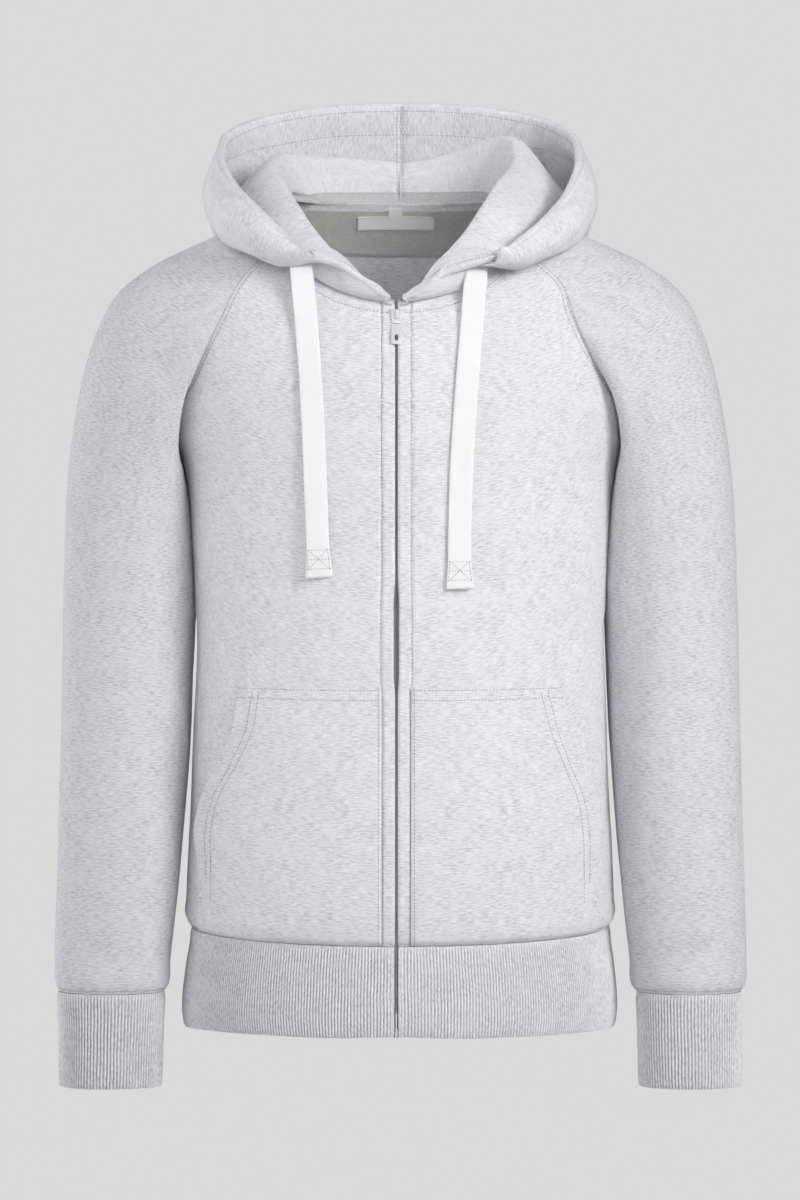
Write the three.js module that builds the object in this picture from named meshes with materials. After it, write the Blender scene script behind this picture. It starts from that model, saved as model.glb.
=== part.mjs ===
// A raglan zip hoodie, worn by nobody, with its hood thrown back.
// Millimetres, +Z up. The front faces -Y and the wearer's shoulders carry the origin.

import * as THREE from 'three'

// Cloth and seams
const fleeceThickness = 2.2
const ribThickness = 2.6
const tapeThickness = 0.8
const cordThickness = 2.4
const seamGap = 0.3
const layerGap = 0.35
const pocketLift = 0.8

// Counts of steps across the pieces
const stepsHemToUnderarm = 9
const stepsRaglan = 9
const stepsFrontAcross = 12
const stepsBackAcross = 20
const stepsNeckSaddle = 4
const ringsBlended = 9
const ringsBelow = 9
const stepsPerHoodSpan = 2

// Zip line: the front edges part by a narrow gap left of the middle
const zipX = -3
const frontEdgeGap = 3
const hemSeamSideZ = -616
const hemSeamFrontZ = -625.5
const hemSeamBackZ = -622
const hemBottomZ = -701

// Hem band from its seam down to its bottom edge, at the side, the front and the back
const hemRibRows = [
  { side: hemSeamSideZ, front: hemSeamFrontZ, back: hemSeamBackZ },
  { side: -655, front: -658, back: -657 },
  { side: hemBottomZ, front: hemBottomZ, back: hemBottomZ },
]

// Torso from the underarm down: half width, front and back reach at each height
const torsoRows = [
  { z: -205, half: 190, front: 121, back: 112 },
  { z: -220, half: 184, front: 122, back: 111.5 },
  { z: -236, half: 180, front: 123, back: 111 },
  { z: -285, half: 175.5, front: 124, back: 108 },
  { z: -330, half: 173, front: 123.5, back: 105 },
  { z: -374, half: 172, front: 122.5, back: 104 },
  { z: -445, half: 174.5, front: 122, back: 108 },
  { z: -505, half: 177, front: 124, back: 112 },
  { z: -565, half: 179.5, front: 126, back: 115 },
  { z: -600, half: 180.5, front: 125.5, back: 116 },
  { z: -616, half: 178, front: 122, back: 114 },
  { z: -626, half: 178, front: 120.5, back: 114 },
  { z: -650, half: 181.5, front: 122, back: 116 },
  { z: -685, half: 184.5, front: 123, back: 118 },
  { z: -701, half: 182.5, front: 121.5, back: 116.5 },
]

// Raglan seam on the front, from the underarm to the neckline
const raglanFrontRows = [
  { u: 0, left: 190, right: 190, y: 0, z: -205 },
  { u: 0.08, left: 190, right: 189.5, y: -16, z: -192 },
  { u: 0.2, left: 186, right: 185, y: -38, z: -177 },
  { u: 0.33, left: 172.5, right: 170, y: -61, z: -154 },
  { u: 0.46, left: 160, right: 154, y: -75, z: -128 },
  { u: 0.6, left: 146.5, right: 142, y: -80.5, z: -102 },
  { u: 0.74, left: 133, right: 133, y: -77.5, z: -75 },
  { u: 0.87, left: 115, right: 112, y: -69, z: -55 },
  { u: 1, left: 91, right: 91, y: -57, z: -33 },
]

// Raglan seam on the back
const raglanBackRows = [
  { u: 0, left: 190, right: 190, y: 0, z: -205 },
  { u: 0.08, left: 190, right: 190, y: 18, z: -196 },
  { u: 0.2, left: 187, right: 187, y: 42, z: -181 },
  { u: 0.35, left: 176, right: 176, y: 70, z: -150 },
  { u: 0.5, left: 161, right: 161, y: 84, z: -115 },
  { u: 0.65, left: 141, right: 141, y: 84, z: -80 },
  { u: 0.82, left: 112, right: 112, y: 70, z: -40 },
  { u: 1, left: 74, right: 74, y: 42, z: 4 },
]

// Middle of the front and the back between the underarm and the neckline
const frontMiddleRows = [
  { u: 0, y: -121, z: -205, sweep: 90 },
  { u: 0.3, y: -117.5, z: -176, sweep: 68 },
  { u: 0.6, y: -111, z: -141, sweep: 60 },
  { u: 0.85, y: -103.5, z: -107, sweep: 72 },
  { u: 1, y: -100, z: -92, sweep: 88 },
]
const backMiddleRows = [
  { u: 0, y: 112, z: -205, sweep: 90 },
  { u: 0.3, y: 111, z: -142, sweep: 62 },
  { u: 0.6, y: 102, z: -80, sweep: 55 },
  { u: 0.85, y: 80, z: -24, sweep: 52 },
  { u: 1, y: 62, z: 3, sweep: 60 },
]

// The neck edge of a sleeve, from the front corner to the back corner
const neckSaddleRows = [
  { u: 0, x: 91, y: -57, z: -33 },
  { u: 0.33, x: 97, y: -26, z: -7 },
  { u: 0.66, x: 92, y: 12, z: 5 },
  { u: 1, x: 74, y: 42, z: 4 },
]

// Sleeve rings from the shoulder down: the line over the shoulder, the line under the arm,
// the reach to the front and back, and how far the ring has left the shape of the raglan seam
const sleeveRows = [
  { r: 0, topX: 97, topZ: 2, underX: 190, underZ: -205, front: 80, back: 84, midY: 0, oval: 0 },
  { r: 1, topX: 124, topZ: -12, underX: 189.5, underZ: -212, front: 80, back: 84, midY: 0, oval: 0.3 },
  { r: 2, topX: 152, topZ: -28, underX: 187, underZ: -221, front: 79, back: 83, midY: 0, oval: 0.55 },
  { r: 3, topX: 181, topZ: -41, underX: 184.5, underZ: -232, front: 77, back: 81, midY: 1, oval: 0.75 },
  { r: 4, topX: 211, topZ: -56, underX: 182.3, underZ: -246, front: 75, back: 78, midY: 3, oval: 0.9 },
  { r: 5, topX: 239, topZ: -77.5, underX: 180.3, underZ: -262, front: 72, back: 74, midY: 6, oval: 1 },
  { r: 6, topX: 256, topZ: -106, underX: 178.5, underZ: -281, front: 69, back: 70, midY: 9, oval: 1 },
  { r: 7, topX: 268, topZ: -141, underX: 176.6, underZ: -303, front: 67, back: 67, midY: 12, oval: 1 },
  { r: 8, topX: 277.5, topZ: -187, underX: 175.2, underZ: -329, front: 65, back: 65, midY: 14, oval: 1 },
  { r: 9, topX: 284.5, topZ: -248, underX: 175.2, underZ: -362, front: 63, back: 63, midY: 14, oval: 1 },
  { r: 10, topX: 287, topZ: -320, underX: 176.8, underZ: -402, front: 61, back: 61, midY: 11, oval: 1 },
  { r: 12, topX: 288.5, topZ: -425, underX: 179.5, underZ: -468, front: 57, back: 57, midY: 1, oval: 1 },
  { r: 14, topX: 290, topZ: -515, underX: 184.5, underZ: -535, front: 53, back: 53, midY: -8, oval: 1 },
  { r: 16, topX: 291.5, topZ: -600, underX: 191, underZ: -605, front: 48, back: 48, midY: -15, oval: 1 },
  { r: 17, topX: 292.3, topZ: -640, underX: 195, underZ: -641, front: 45.5, back: 45.5, midY: -17, oval: 1 },
  { r: 18, topX: 290, topZ: -670.2, underX: 198, underZ: -670.2, front: 42.5, back: 42.5, midY: -19, oval: 1 },
]

// Cuff heights and reach, ribbed
const cuffRows = [
  { z: -670.4, outer: 289.5, inner: 198.5, depth: 41.5, midY: -19 },
  { z: -684, outer: 288.5, inner: 199.5, depth: 40, midY: -19.5 },
  { z: -750, outer: 288, inner: 202, depth: 37.5, midY: -21 },
]
const ribsPerCuff = 44
const ribsRoundHem = 180
const ribRelief = 0.55
const stepsInsideCuff = 22
const stepsInsideHem = 48

// Hood stations from the zip to the middle of the back, along the neckline.
// Each cross-section runs neck seam, crest, bottom fold, rim. The right side is given as
// what it adds to the left: the rim sits lower there and the crest puffs up at the back.
const hoodRows = [
  { s: 0, cx: 6, cy: -101, cz: -90, bx: 6, by: -101, bz: -89, rx: 6, ry: -101, rz: -88, rimDrop: 0, puff: 0 },
  { s: 2, cx: 24, cy: -103, cz: -80, bx: 24, by: -104, bz: -79, rx: 24, ry: -105, rz: -78, rimDrop: 1, puff: 0 },
  { s: 3, cx: 42, cy: -103, cz: -62, bx: 44, by: -107, bz: -62, rx: 46, ry: -111, rz: -64, rimDrop: 6, puff: 0 },
  { s: 4, cx: 60, cy: -96, cz: -43, bx: 70, by: -107, bz: -55, rx: 77, ry: -112, rz: -50, rimDrop: 9, puff: 0 },
  { s: 5, cx: 72, cy: -86, cz: -27, bx: 95, by: -99, bz: -58, rx: 96, ry: -107, rz: -38, rimDrop: 10, puff: 0 },
  { s: 6, cx: 84, cy: -68, cz: -8, bx: 121, by: -86, bz: -47, rx: 116, ry: -94, rz: -19, rimDrop: 12, puff: 0 },
  { s: 7, cx: 97, cy: -40, cz: 10, bx: 142, by: -54, bz: -36, rx: 136, ry: -64, rz: 4, rimDrop: 9, puff: 2 },
  { s: 8, cx: 110, cy: -6, cz: 26, bx: 154, by: -2, bz: -17, rx: 149, ry: -22, rz: 30, rimDrop: 3, puff: 6 },
  { s: 9, cx: 104, cy: 34, cz: 41, bx: 149, by: 62, bz: -32, rx: 147, ry: 26, rz: 54, rimDrop: 1, puff: 14 },
  { s: 10, cx: 80, cy: 54, cz: 44, bx: 125, by: 110, bz: -88, rx: 124, ry: 62, rz: 71, rimDrop: 0, puff: 13 },
  { s: 11, cx: 54, cy: 64, cz: 43, bx: 84, by: 124, bz: -140, rx: 88, ry: 79, rz: 81, rimDrop: 0, puff: 6 },
  { s: 12, cx: 28, cy: 69, cz: 40, bx: 42, by: 133, bz: -164, rx: 46, ry: 88, rz: 87, rimDrop: 0, puff: 2 },
  { s: 13, cx: 0, cy: 71, cz: 38, bx: 0, by: 135, bz: -172, rx: 0, ry: 91, rz: 88.5, rimDrop: 0, puff: 0 },
]
const hoodPlaces = [0, 1, 2, 3, 4, 5, 6, 6.5, 7, 7.5, 8, 9, 10, 11, 12, 13]
const lastStation = 13
const saddleStations = { from: 6, to: 8 }

// How far the hood's cloth swells beyond straight lines between its named points
const hoodSwell = {
  fullDepth: 45,
  up: { at: 0.45, out: -3, perDepth: 0 },
  over: { at: 0.5, out: 6, perDepth: 0.04 },
  out: { at: 0.45, out: 8, perDepth: 0.05 },
}

// Pockets: how far each row reaches from the zip, by its place among the rows of the front.
// The upper rows end at the slanted hand opening, the lower ones at the side.
const pocketRows = [
  { place: 0.3, left: 163, right: 166 },
  { place: 1, left: 164, right: 167 },
  { place: 2, left: 164, right: 167 },
  { place: 3, left: 163, right: 165 },
  { place: 3.7, left: 158, right: 161 },
  { place: 4.35, left: 145, right: 151 },
  { place: 5, left: 132.5, right: 141 },
  { place: 5.7, left: 129, right: 134 },
]
const pocketInnerX = 12
const pocketMiddleZ = -540
const stepsPocketAcross = 9

// Drawcords: flat, hanging from the band of the hood down the fronts
const cordWidth = 19
const cordEdge = 1.5
const cordEdgeShare = 0.4
const stepsCord = 18
const cordRoutes = {
  left: [
    [-82, -99.5, -66], [-81, -101.5, -73], [-80, -101.9, -84], [-78.5, -102.9, -100], [-76.5, -106.5, -125],
    [-74, -111.8, -155], [-72, -115.2, -190], [-70.5, -117.2, -225], [-69, -118.5, -260], [-68, -118.9, -290],
    [-66.5, -118.8, -322],
  ],
  right: [
    [63, -101.9, -74], [62, -102.9, -81], [61, -102.9, -92], [59.5, -104.9, -110], [57.5, -110.1, -135],
    [55, -115, -165], [52.5, -118.8, -200], [50.5, -121.2, -235], [49.5, -121.9, -270], [49, -122, -300],
    [49.5, -121.8, -331],
  ],
}

// Sewn-in pieces inside the back neck
const neckPiecesHalf = 66
const neckTapeTopZ = 1.5
const neckTapeDepth = 11
const yokeTopZ = 3
const yokeDepth = 47
const yokeSpread = 72
const yokeBelowTape = 3
const yokeLeast = 8
const labelSag = 3.4
const labelRise = 4.6
const labelMiddleX = -3.6
const labelWidth = 67
const labelTopZ = -8.5
const labelBottomZ = -20.5
const sizeTabX = -4
const sizeTabWidth = 12
const sizeTabBottomZ = -7.5

// Zip tapes: their columns counted from the zip line, and how they lean back
const zipTapeColumns = [0.35, 5, 11]
const zipTapeLean = 0.06
const zipTapeLowRows = [hemBottomZ + 1, -660]

// Slider and pull
const sliderZ = -105.7
const sliderY = -103.3
const chestSlope = 13
const sliderSize = { width: 9.5, height: 13, depth: 4.6 }
const pullHingeZ = -112.6
const pullHingeY = -106.6
const pullSize = { width: 8.5, length: 17, thickness: 1.6 }
const retainer = { width: 2.4, depth: 2.2, height: 8, aboveBottom: 4.2, sunk: 1.3 }

const clothColour = 0xdcdce0
const materials = {
  fleece: () => new THREE.MeshStandardMaterial({ color: clothColour, roughness: 0.95, metalness: 0 }),
  rib: () => new THREE.MeshStandardMaterial({ color: 0xc4c3c8, roughness: 0.95, metalness: 0 }),
  inside: () => new THREE.MeshStandardMaterial({ color: 0xd2d1d0, roughness: 0.95, metalness: 0 }),
  cotton: () => new THREE.MeshStandardMaterial({ color: 0xf5f5f7, roughness: 0.9, metalness: 0 }),
  tape: () => new THREE.MeshStandardMaterial({ color: 0x9a9a9e, roughness: 0.85, metalness: 0 }),
  zip: () => new THREE.MeshStandardMaterial({ color: 0xe2e2e4, roughness: 0.45, metalness: 0.2 }),
}

const garment = new THREE.Group()
const radians = THREE.MathUtils.degToRad

// Reads a named column of a table at any place between its rows, on a smooth line
function column(rows, key, name, place) {
  let i = 0
  while (i < rows.length - 2 && (rows[i + 1][key] - place) * (rows[1][key] - rows[0][key]) < 0) {
    i += 1
  }
  const slope = (a, b) => (rows[b][name] - rows[a][name]) / (rows[b][key] - rows[a][key])
  const span = rows[i + 1][key] - rows[i][key]
  const t = THREE.MathUtils.clamp((place - rows[i][key]) / span, 0, 1)
  const here = slope(i, i + 1)
  const soften = (a) => (a * here <= 0 ? 0 : Math.sign(here) * Math.min(Math.abs(a), 3 * Math.abs(here)))
  const before = i === 0 ? here : soften((slope(i - 1, i) + here) / 2)
  const after = i === rows.length - 2 ? here : soften((slope(i + 1, i + 2) + here) / 2)
  const h01 = t * t * (3 - 2 * t)
  const h10 = t * (1 - t) * (1 - t)
  const h11 = t * t * (t - 1)
  return rows[i][name] * (1 - h01) + rows[i + 1][name] * h01 + span * (h10 * before + h11 * after)
}

const point = (x, y, z) => new THREE.Vector3(x, y, z)
const mix = (a, b, t) => a.clone().lerp(b, t)

// The seam between a front or back and its sleeve; side is -1 on the left of the picture
function raglanPoint(rows, side, u) {
  const x = column(rows, 'u', side < 0 ? 'left' : 'right', u)
  return point(side * x, column(rows, 'u', 'y', u), column(rows, 'u', 'z', u))
}

// One arc across a panel, from its middle to its seam
function panelArc(middle, seam, sweep, t) {
  const full = radians(sweep)
  const along = Math.sin(full * t) / Math.sin(full)
  const round = (1 - Math.cos(full * t)) / (1 - Math.cos(full))
  return point(
    middle.x + (seam.x - middle.x) * along,
    middle.y + (seam.y - middle.y) * round,
    middle.z + (seam.z - middle.z) * round,
  )
}

function torsoArc(side, face, middleX, sideZ, middleZ, t) {
  const reach = face === 'front' ? -1 : 1
  const middle = point(middleX, reach * column(torsoRows, 'z', face, middleZ), middleZ)
  const seam = point(side * column(torsoRows, 'z', 'half', sideZ), 0, sideZ)
  return panelArc(middle, seam, 90, t)
}

// Rows of half a panel from the hem seam to the neckline
function panelRows(side, face, middleX, stepsAcross) {
  const hemMiddleZ = face === 'front' ? hemSeamFrontZ : hemSeamBackZ
  const middleRows = face === 'front' ? frontMiddleRows : backMiddleRows
  const seamRows = face === 'front' ? raglanFrontRows : raglanBackRows
  const underarmZ = torsoRows[0].z
  const rows = []
  for (let i = 0; i < stepsHemToUnderarm; i += 1) {
    const rise = hemRise(i / stepsHemToUnderarm)
    const sideZ = THREE.MathUtils.lerp(hemSeamSideZ, underarmZ, rise)
    const middleZ = THREE.MathUtils.lerp(hemMiddleZ, underarmZ, rise)
    rows.push(across(stepsAcross, (t) => torsoArc(side, face, middleX, sideZ, middleZ, t)))
  }
  for (let i = 0; i <= stepsRaglan; i += 1) {
    const u = i / stepsRaglan
    const middle = point(middleX, column(middleRows, 'u', 'y', u), column(middleRows, 'u', 'z', u))
    const sweep = column(middleRows, 'u', 'sweep', u)
    const seam = raglanPoint(seamRows, side, u)
    rows.push(across(stepsAcross, (t) => panelArc(middle, seam, sweep, t)))
  }
  return rows
}

// Rows lie closer together just above the hem seam, where the fleece blouses
const hemRise = (v) => v * (0.45 + 0.55 * v)

function across(steps, make) {
  const list = []
  for (let i = 0; i <= steps; i += 1) {
    list.push(make(i / steps))
  }
  return list
}

// Normals of a sheet given as rows of points, pointing to the left of its rows as they rise
function sheetNormals(rows, closed) {
  return rows.map((row, j) => row.map((_, i) => {
    const last = row.length - 1
    const west = row[i > 0 ? i - 1 : (closed ? last : 0)]
    const east = row[i < last ? i + 1 : (closed ? 0 : last)]
    const south = rows[Math.max(j - 1, 0)][i]
    const north = rows[Math.min(j + 1, rows.length - 1)][i]
    const normal = east.clone().sub(west).cross(north.clone().sub(south))
    return normal.normalize()
  }))
}

// Points where panels meet share one normal, so that their edges face each other squarely
const seamNormals = new Map()
const keyOf = (p) => [p.x, p.y, p.z].map((value) => Math.round(value * 50)).join(' ')

function noteSeams(sheet) {
  sheet.rows.forEach((row, j) => row.forEach((p, i) => {
    const key = keyOf(p)
    const sum = seamNormals.get(key) ?? point(0, 0, 0)
    seamNormals.set(key, sum.add(sheet.normals[j][i]))
  }))
}

function sheetOf(rows, options = {}) {
  const flip = options.flip ? -1 : 1
  const normals = sheetNormals(rows, options.closed).map((row) => row.map((n) => n.multiplyScalar(flip)))
  return { rows, normals, closed: Boolean(options.closed), flip }
}

// Moves the edges of a sheet in by half a seam gap
function parted(sheet) {
  const { rows, closed } = sheet
  const half = seamGap / 2
  const lastRow = rows.length - 1
  return rows.map((row, j) => row.map((p, i) => {
    const moved = p.clone()
    const towards = (q) => moved.addScaledVector(q.clone().sub(p).normalize(), half)
    if (j === 0) {
      towards(rows[1][i])
    }
    if (j === lastRow) {
      towards(rows[lastRow - 1][i])
    }
    if (!closed && i === 0) {
      towards(row[1])
    }
    if (!closed && i === row.length - 1) {
      towards(row[i - 1])
    }
    return moved
  }))
}

// A closed wall between two matching sets of rows
function wallGeometry(outer, inner, closed, flip) {
  const height = outer.length
  const width = outer[0].length
  const positions = []
  const faces = []
  const store = (rows) => rows.forEach((row) => row.forEach((p) => positions.push(p.x, p.y, p.z)))
  store(outer)
  store(inner)
  const at = (layer, j, i) => layer * height * width + j * width + (i % width)
  const quad = (a, b, c, d) => {
    if (flip < 0) {
      faces.push(a, c, b, a, d, c)
    } else {
      faces.push(a, b, c, a, c, d)
    }
  }
  const spans = closed ? width : width - 1
  for (let j = 0; j < height - 1; j += 1) {
    for (let i = 0; i < spans; i += 1) {
      quad(at(0, j, i), at(0, j, i + 1), at(0, j + 1, i + 1), at(0, j + 1, i))
      quad(at(1, j, i), at(1, j + 1, i), at(1, j + 1, i + 1), at(1, j, i + 1))
    }
  }
  for (let i = 0; i < spans; i += 1) {
    quad(at(1, 0, i), at(1, 0, i + 1), at(0, 0, i + 1), at(0, 0, i))
    quad(at(0, height - 1, i), at(0, height - 1, i + 1), at(1, height - 1, i + 1), at(1, height - 1, i))
  }
  if (!closed) {
    for (let j = 0; j < height - 1; j += 1) {
      quad(at(0, j, 0), at(0, j + 1, 0), at(1, j + 1, 0), at(1, j, 0))
      quad(at(0, j, width - 1), at(1, j, width - 1), at(1, j + 1, width - 1), at(0, j + 1, width - 1))
    }
  }
  const geometry = new THREE.BufferGeometry()
  geometry.setAttribute('position', new THREE.Float32BufferAttribute(positions, 3))
  geometry.setIndex(faces)
  return geometry
}

function add(name, geometry, material) {
  const mesh = new THREE.Mesh(geometry, material)
  mesh.name = name
  garment.add(mesh)
  return mesh
}

// A cloth wall: its outer face lies at the sheet moved out by lift, its inner face a thickness below
function addCloth(name, sheet, thickness, material, lift = 0, edges = parted(sheet)) {
  const normalAt = (j, i) => {
    const shared = seamNormals.get(keyOf(sheet.rows[j][i]))
    return (shared ?? sheet.normals[j][i]).clone().normalize()
  }
  const moved = (distance) => edges.map((row, j) => row.map((p, i) => (
    p.clone().addScaledVector(normalAt(j, i), distance)
  )))
  add(name, wallGeometry(moved(lift), moved(lift - thickness), sheet.closed, sheet.flip), material)
}

// Fronts and back
function makePanels() {
  const edgeLeft = zipX - frontEdgeGap / 2
  const edgeRight = zipX + frontEdgeGap / 2
  const frontLeft = panelRows(-1, 'front', edgeLeft, stepsFrontAcross)
  const frontRight = panelRows(1, 'front', edgeRight, stepsFrontAcross)
  const half = stepsBackAcross / 2
  const backLeft = panelRows(-1, 'back', 0, half)
  const backRight = panelRows(1, 'back', 0, half)
  const back = backLeft.map((row, j) => [...row.slice(1).reverse(), ...backRight[j]])
  return {
    frontLeft: sheetOf(frontLeft, { flip: true }),
    frontRight: sheetOf(frontRight),
    back: sheetOf(back, { flip: true }),
  }
}

// The loop of a sleeve's top ring: saddle at the neck, front raglan down, back raglan up
function sleeveLoop(side) {
  const loop = []
  for (let i = 0; i < stepsNeckSaddle; i += 1) {
    const u = i / stepsNeckSaddle
    loop.push(saddlePoint(side, 1 - u))
  }
  for (let i = 0; i < stepsRaglan; i += 1) {
    loop.push(raglanPoint(raglanFrontRows, side, 1 - i / stepsRaglan))
  }
  for (let i = 0; i < stepsRaglan; i += 1) {
    loop.push(raglanPoint(raglanBackRows, side, i / stepsRaglan))
  }
  return loop
}

function saddlePoint(side, u) {
  return point(
    side * column(neckSaddleRows, 'u', 'x', u),
    column(neckSaddleRows, 'u', 'y', u),
    column(neckSaddleRows, 'u', 'z', u),
  )
}

function sleeveRing(side, r) {
  const value = (name) => column(sleeveRows, 'r', name, r)
  const top = point(side * value('topX'), 0, value('topZ'))
  const under = point(side * value('underX'), 0, value('underZ'))
  const middle = mix(top, under, 0.5).setY(value('midY'))
  const upward = top.clone().sub(under)
  const reach = upward.length() / 2
  upward.normalize()
  const outward = point(upward.z, 0, -upward.x)
  return { middle, upward, outward, reach, front: value('front'), back: value('back'), oval: value('oval') }
}

function makeSleeve(side) {
  const loop = sleeveLoop(side)
  const first = sleeveRing(side, 0)
  const local = loop.map((p) => {
    const from = p.clone().sub(first.middle)
    const up = from.dot(first.upward)
    const out = from.dot(first.outward)
    const depth = from.y < 0 ? first.front : first.back
    return { up, out, y: from.y, angle: Math.atan2(from.y / depth, up / first.reach) }
  })
  const rows = [loop]
  const last = sleeveRows[sleeveRows.length - 1].r
  const places = []
  for (let i = 1; i <= ringsBlended; i += 1) {
    places.push(i)
  }
  for (let i = 1; i <= ringsBelow; i += 1) {
    places.push(ringsBlended + (last - ringsBlended) * i / ringsBelow)
  }
  places.forEach((r) => {
    const ring = sleeveRing(side, r)
    const scaleUp = ring.reach / first.reach
    rows.push(local.map((p) => {
      const depth = p.y < 0 ? ring.front : ring.back
      const depthFirst = p.y < 0 ? first.front : first.back
      const up = THREE.MathUtils.lerp(p.up * scaleUp, ring.reach * Math.cos(p.angle), ring.oval)
      const y = THREE.MathUtils.lerp(p.y * depth / depthFirst, depth * Math.sin(p.angle), ring.oval)
      const out = p.out * (1 - ring.oval)
      return ring.middle.clone()
        .addScaledVector(ring.upward, up)
        .addScaledVector(ring.outward, out)
        .add(point(0, y, 0))
    }))
  })
  return sheetOf(rows, { closed: true, flip: side < 0 })
}

// Raised ribs on a plain wall; the outer line has two points a rib and the inner one fewer
function ribbedGeometry(heights, outerAt, innerAt, ribs, innerSteps, closed) {
  const outerSteps = ribs * 2
  const positions = []
  const faces = []
  const spread = (steps, make) => heights.forEach((_, j) => {
    for (let i = 0; i < (closed ? steps : steps + 1); i += 1) {
      const p = make(j, i / steps, i)
      positions.push(p.x, p.y, p.z)
    }
  })
  spread(outerSteps, outerAt)
  spread(innerSteps, innerAt)
  const outerWidth = closed ? outerSteps : outerSteps + 1
  const innerWidth = closed ? innerSteps : innerSteps + 1
  const outer = (j, i) => j * outerWidth + (closed ? i % outerSteps : i)
  const inner = (j, i) => heights.length * outerWidth + j * innerWidth + (closed ? i % innerSteps : i)
  for (let j = 0; j < heights.length - 1; j += 1) {
    for (let i = 0; i < outerSteps; i += 1) {
      faces.push(outer(j, i), outer(j, i + 1), outer(j + 1, i + 1))
      faces.push(outer(j, i), outer(j + 1, i + 1), outer(j + 1, i))
    }
    for (let i = 0; i < innerSteps; i += 1) {
      faces.push(inner(j, i), inner(j + 1, i + 1), inner(j, i + 1))
      faces.push(inner(j, i), inner(j + 1, i), inner(j + 1, i + 1))
    }
  }
  const zipRims = (j, turned) => {
    let a = 0
    let b = 0
    const face = (x, y, z) => faces.push(...(turned ? [x, z, y] : [x, y, z]))
    while (a < outerSteps || b < innerSteps) {
      if (b === innerSteps || (a < outerSteps && (a + 1) / outerSteps <= (b + 0.5) / innerSteps)) {
        face(outer(j, a), inner(j, b), outer(j, a + 1))
        a += 1
      } else {
        face(outer(j, a), inner(j, b), inner(j, b + 1))
        b += 1
      }
    }
  }
  zipRims(0, false)
  zipRims(heights.length - 1, true)
  if (!closed) {
    for (let j = 0; j < heights.length - 1; j += 1) {
      faces.push(outer(j, 0), outer(j + 1, 0), inner(j + 1, 0))
      faces.push(outer(j, 0), inner(j + 1, 0), inner(j, 0))
      faces.push(outer(j, outerSteps), inner(j + 1, innerSteps), outer(j + 1, outerSteps))
      faces.push(outer(j, outerSteps), inner(j, innerSteps), inner(j + 1, innerSteps))
    }
  }
  const geometry = new THREE.BufferGeometry()
  geometry.setAttribute('position', new THREE.Float32BufferAttribute(positions, 3))
  geometry.setIndex(faces)
  return geometry
}

// The hem band runs from the zip round the back to the zip again
function makeHemRib() {
  const gapAngle = (frontEdgeGap / 2 + seamGap) / torsoRows[0].half
  const pointAt = (j, turn, depth) => {
    const angle = THREE.MathUtils.lerp(gapAngle, 2 * Math.PI - gapAngle, turn)
    const row = hemRibRows[j]
    const ahead = Math.cos(angle)
    const middleZ = ahead > 0 ? row.front : row.back
    const z = THREE.MathUtils.lerp(row.side, middleZ, Math.abs(ahead))
    const half = column(torsoRows, 'z', 'half', z) - depth
    const reach = column(torsoRows, 'z', ahead > 0 ? 'front' : 'back', z) - depth
    const shift = zipX * Math.max(ahead, 0)
    const lowered = j === 0 ? z - seamGap : z
    return point(-half * Math.sin(angle) + shift, -reach * ahead, lowered)
  }
  const heights = hemRibRows.map((row) => row.side)
  const outerAt = (j, turn, i) => pointAt(j, turn, i % 2 ? 0 : ribRelief)
  const innerAt = (j, turn) => pointAt(j, turn, ribThickness)
  const geometry = ribbedGeometry(heights, outerAt, innerAt, ribsRoundHem, stepsInsideHem, false)
  add('hem_rib', geometry, materials.rib())
}

function makeCuff(name, side) {
  const pointAt = (j, turn, depth) => {
    const row = cuffRows[j]
    const angle = -2 * Math.PI * turn
    const half = (row.outer - row.inner) / 2 - depth
    const x = side * (row.outer + row.inner) / 2 + half * Math.sin(angle)
    return point(x, row.midY - (row.depth - depth) * Math.cos(angle), row.z)
  }
  const outerAt = (j, turn, i) => pointAt(j, turn, i % 2 ? 0 : ribRelief)
  const innerAt = (j, turn) => pointAt(j, turn, ribThickness)
  const heights = cuffRows.map((row) => row.z)
  add(name, ribbedGeometry(heights, outerAt, innerAt, ribsPerCuff, stepsInsideCuff, true), materials.rib())
}

// The neckline at each hood station: front edge, sleeve saddle, back edge
function necklineAt(side, panels, place) {
  const { from, to } = saddleStations
  if (place <= from) {
    const sheet = side < 0 ? panels.frontLeft : panels.frontRight
    const rows = sheet.rows[sheet.rows.length - 1]
    return rows[Math.round(place * stepsFrontAcross / from)]
  }
  if (place <= to) {
    return saddlePoint(side, (place - from) / (to - from))
  }
  const rows = panels.back.rows[panels.back.rows.length - 1]
  const half = stepsBackAcross / 2
  const fromMiddle = (lastStation - place) * half / (lastStation - to)
  return rows[Math.round(half + side * fromMiddle)]
}

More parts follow.
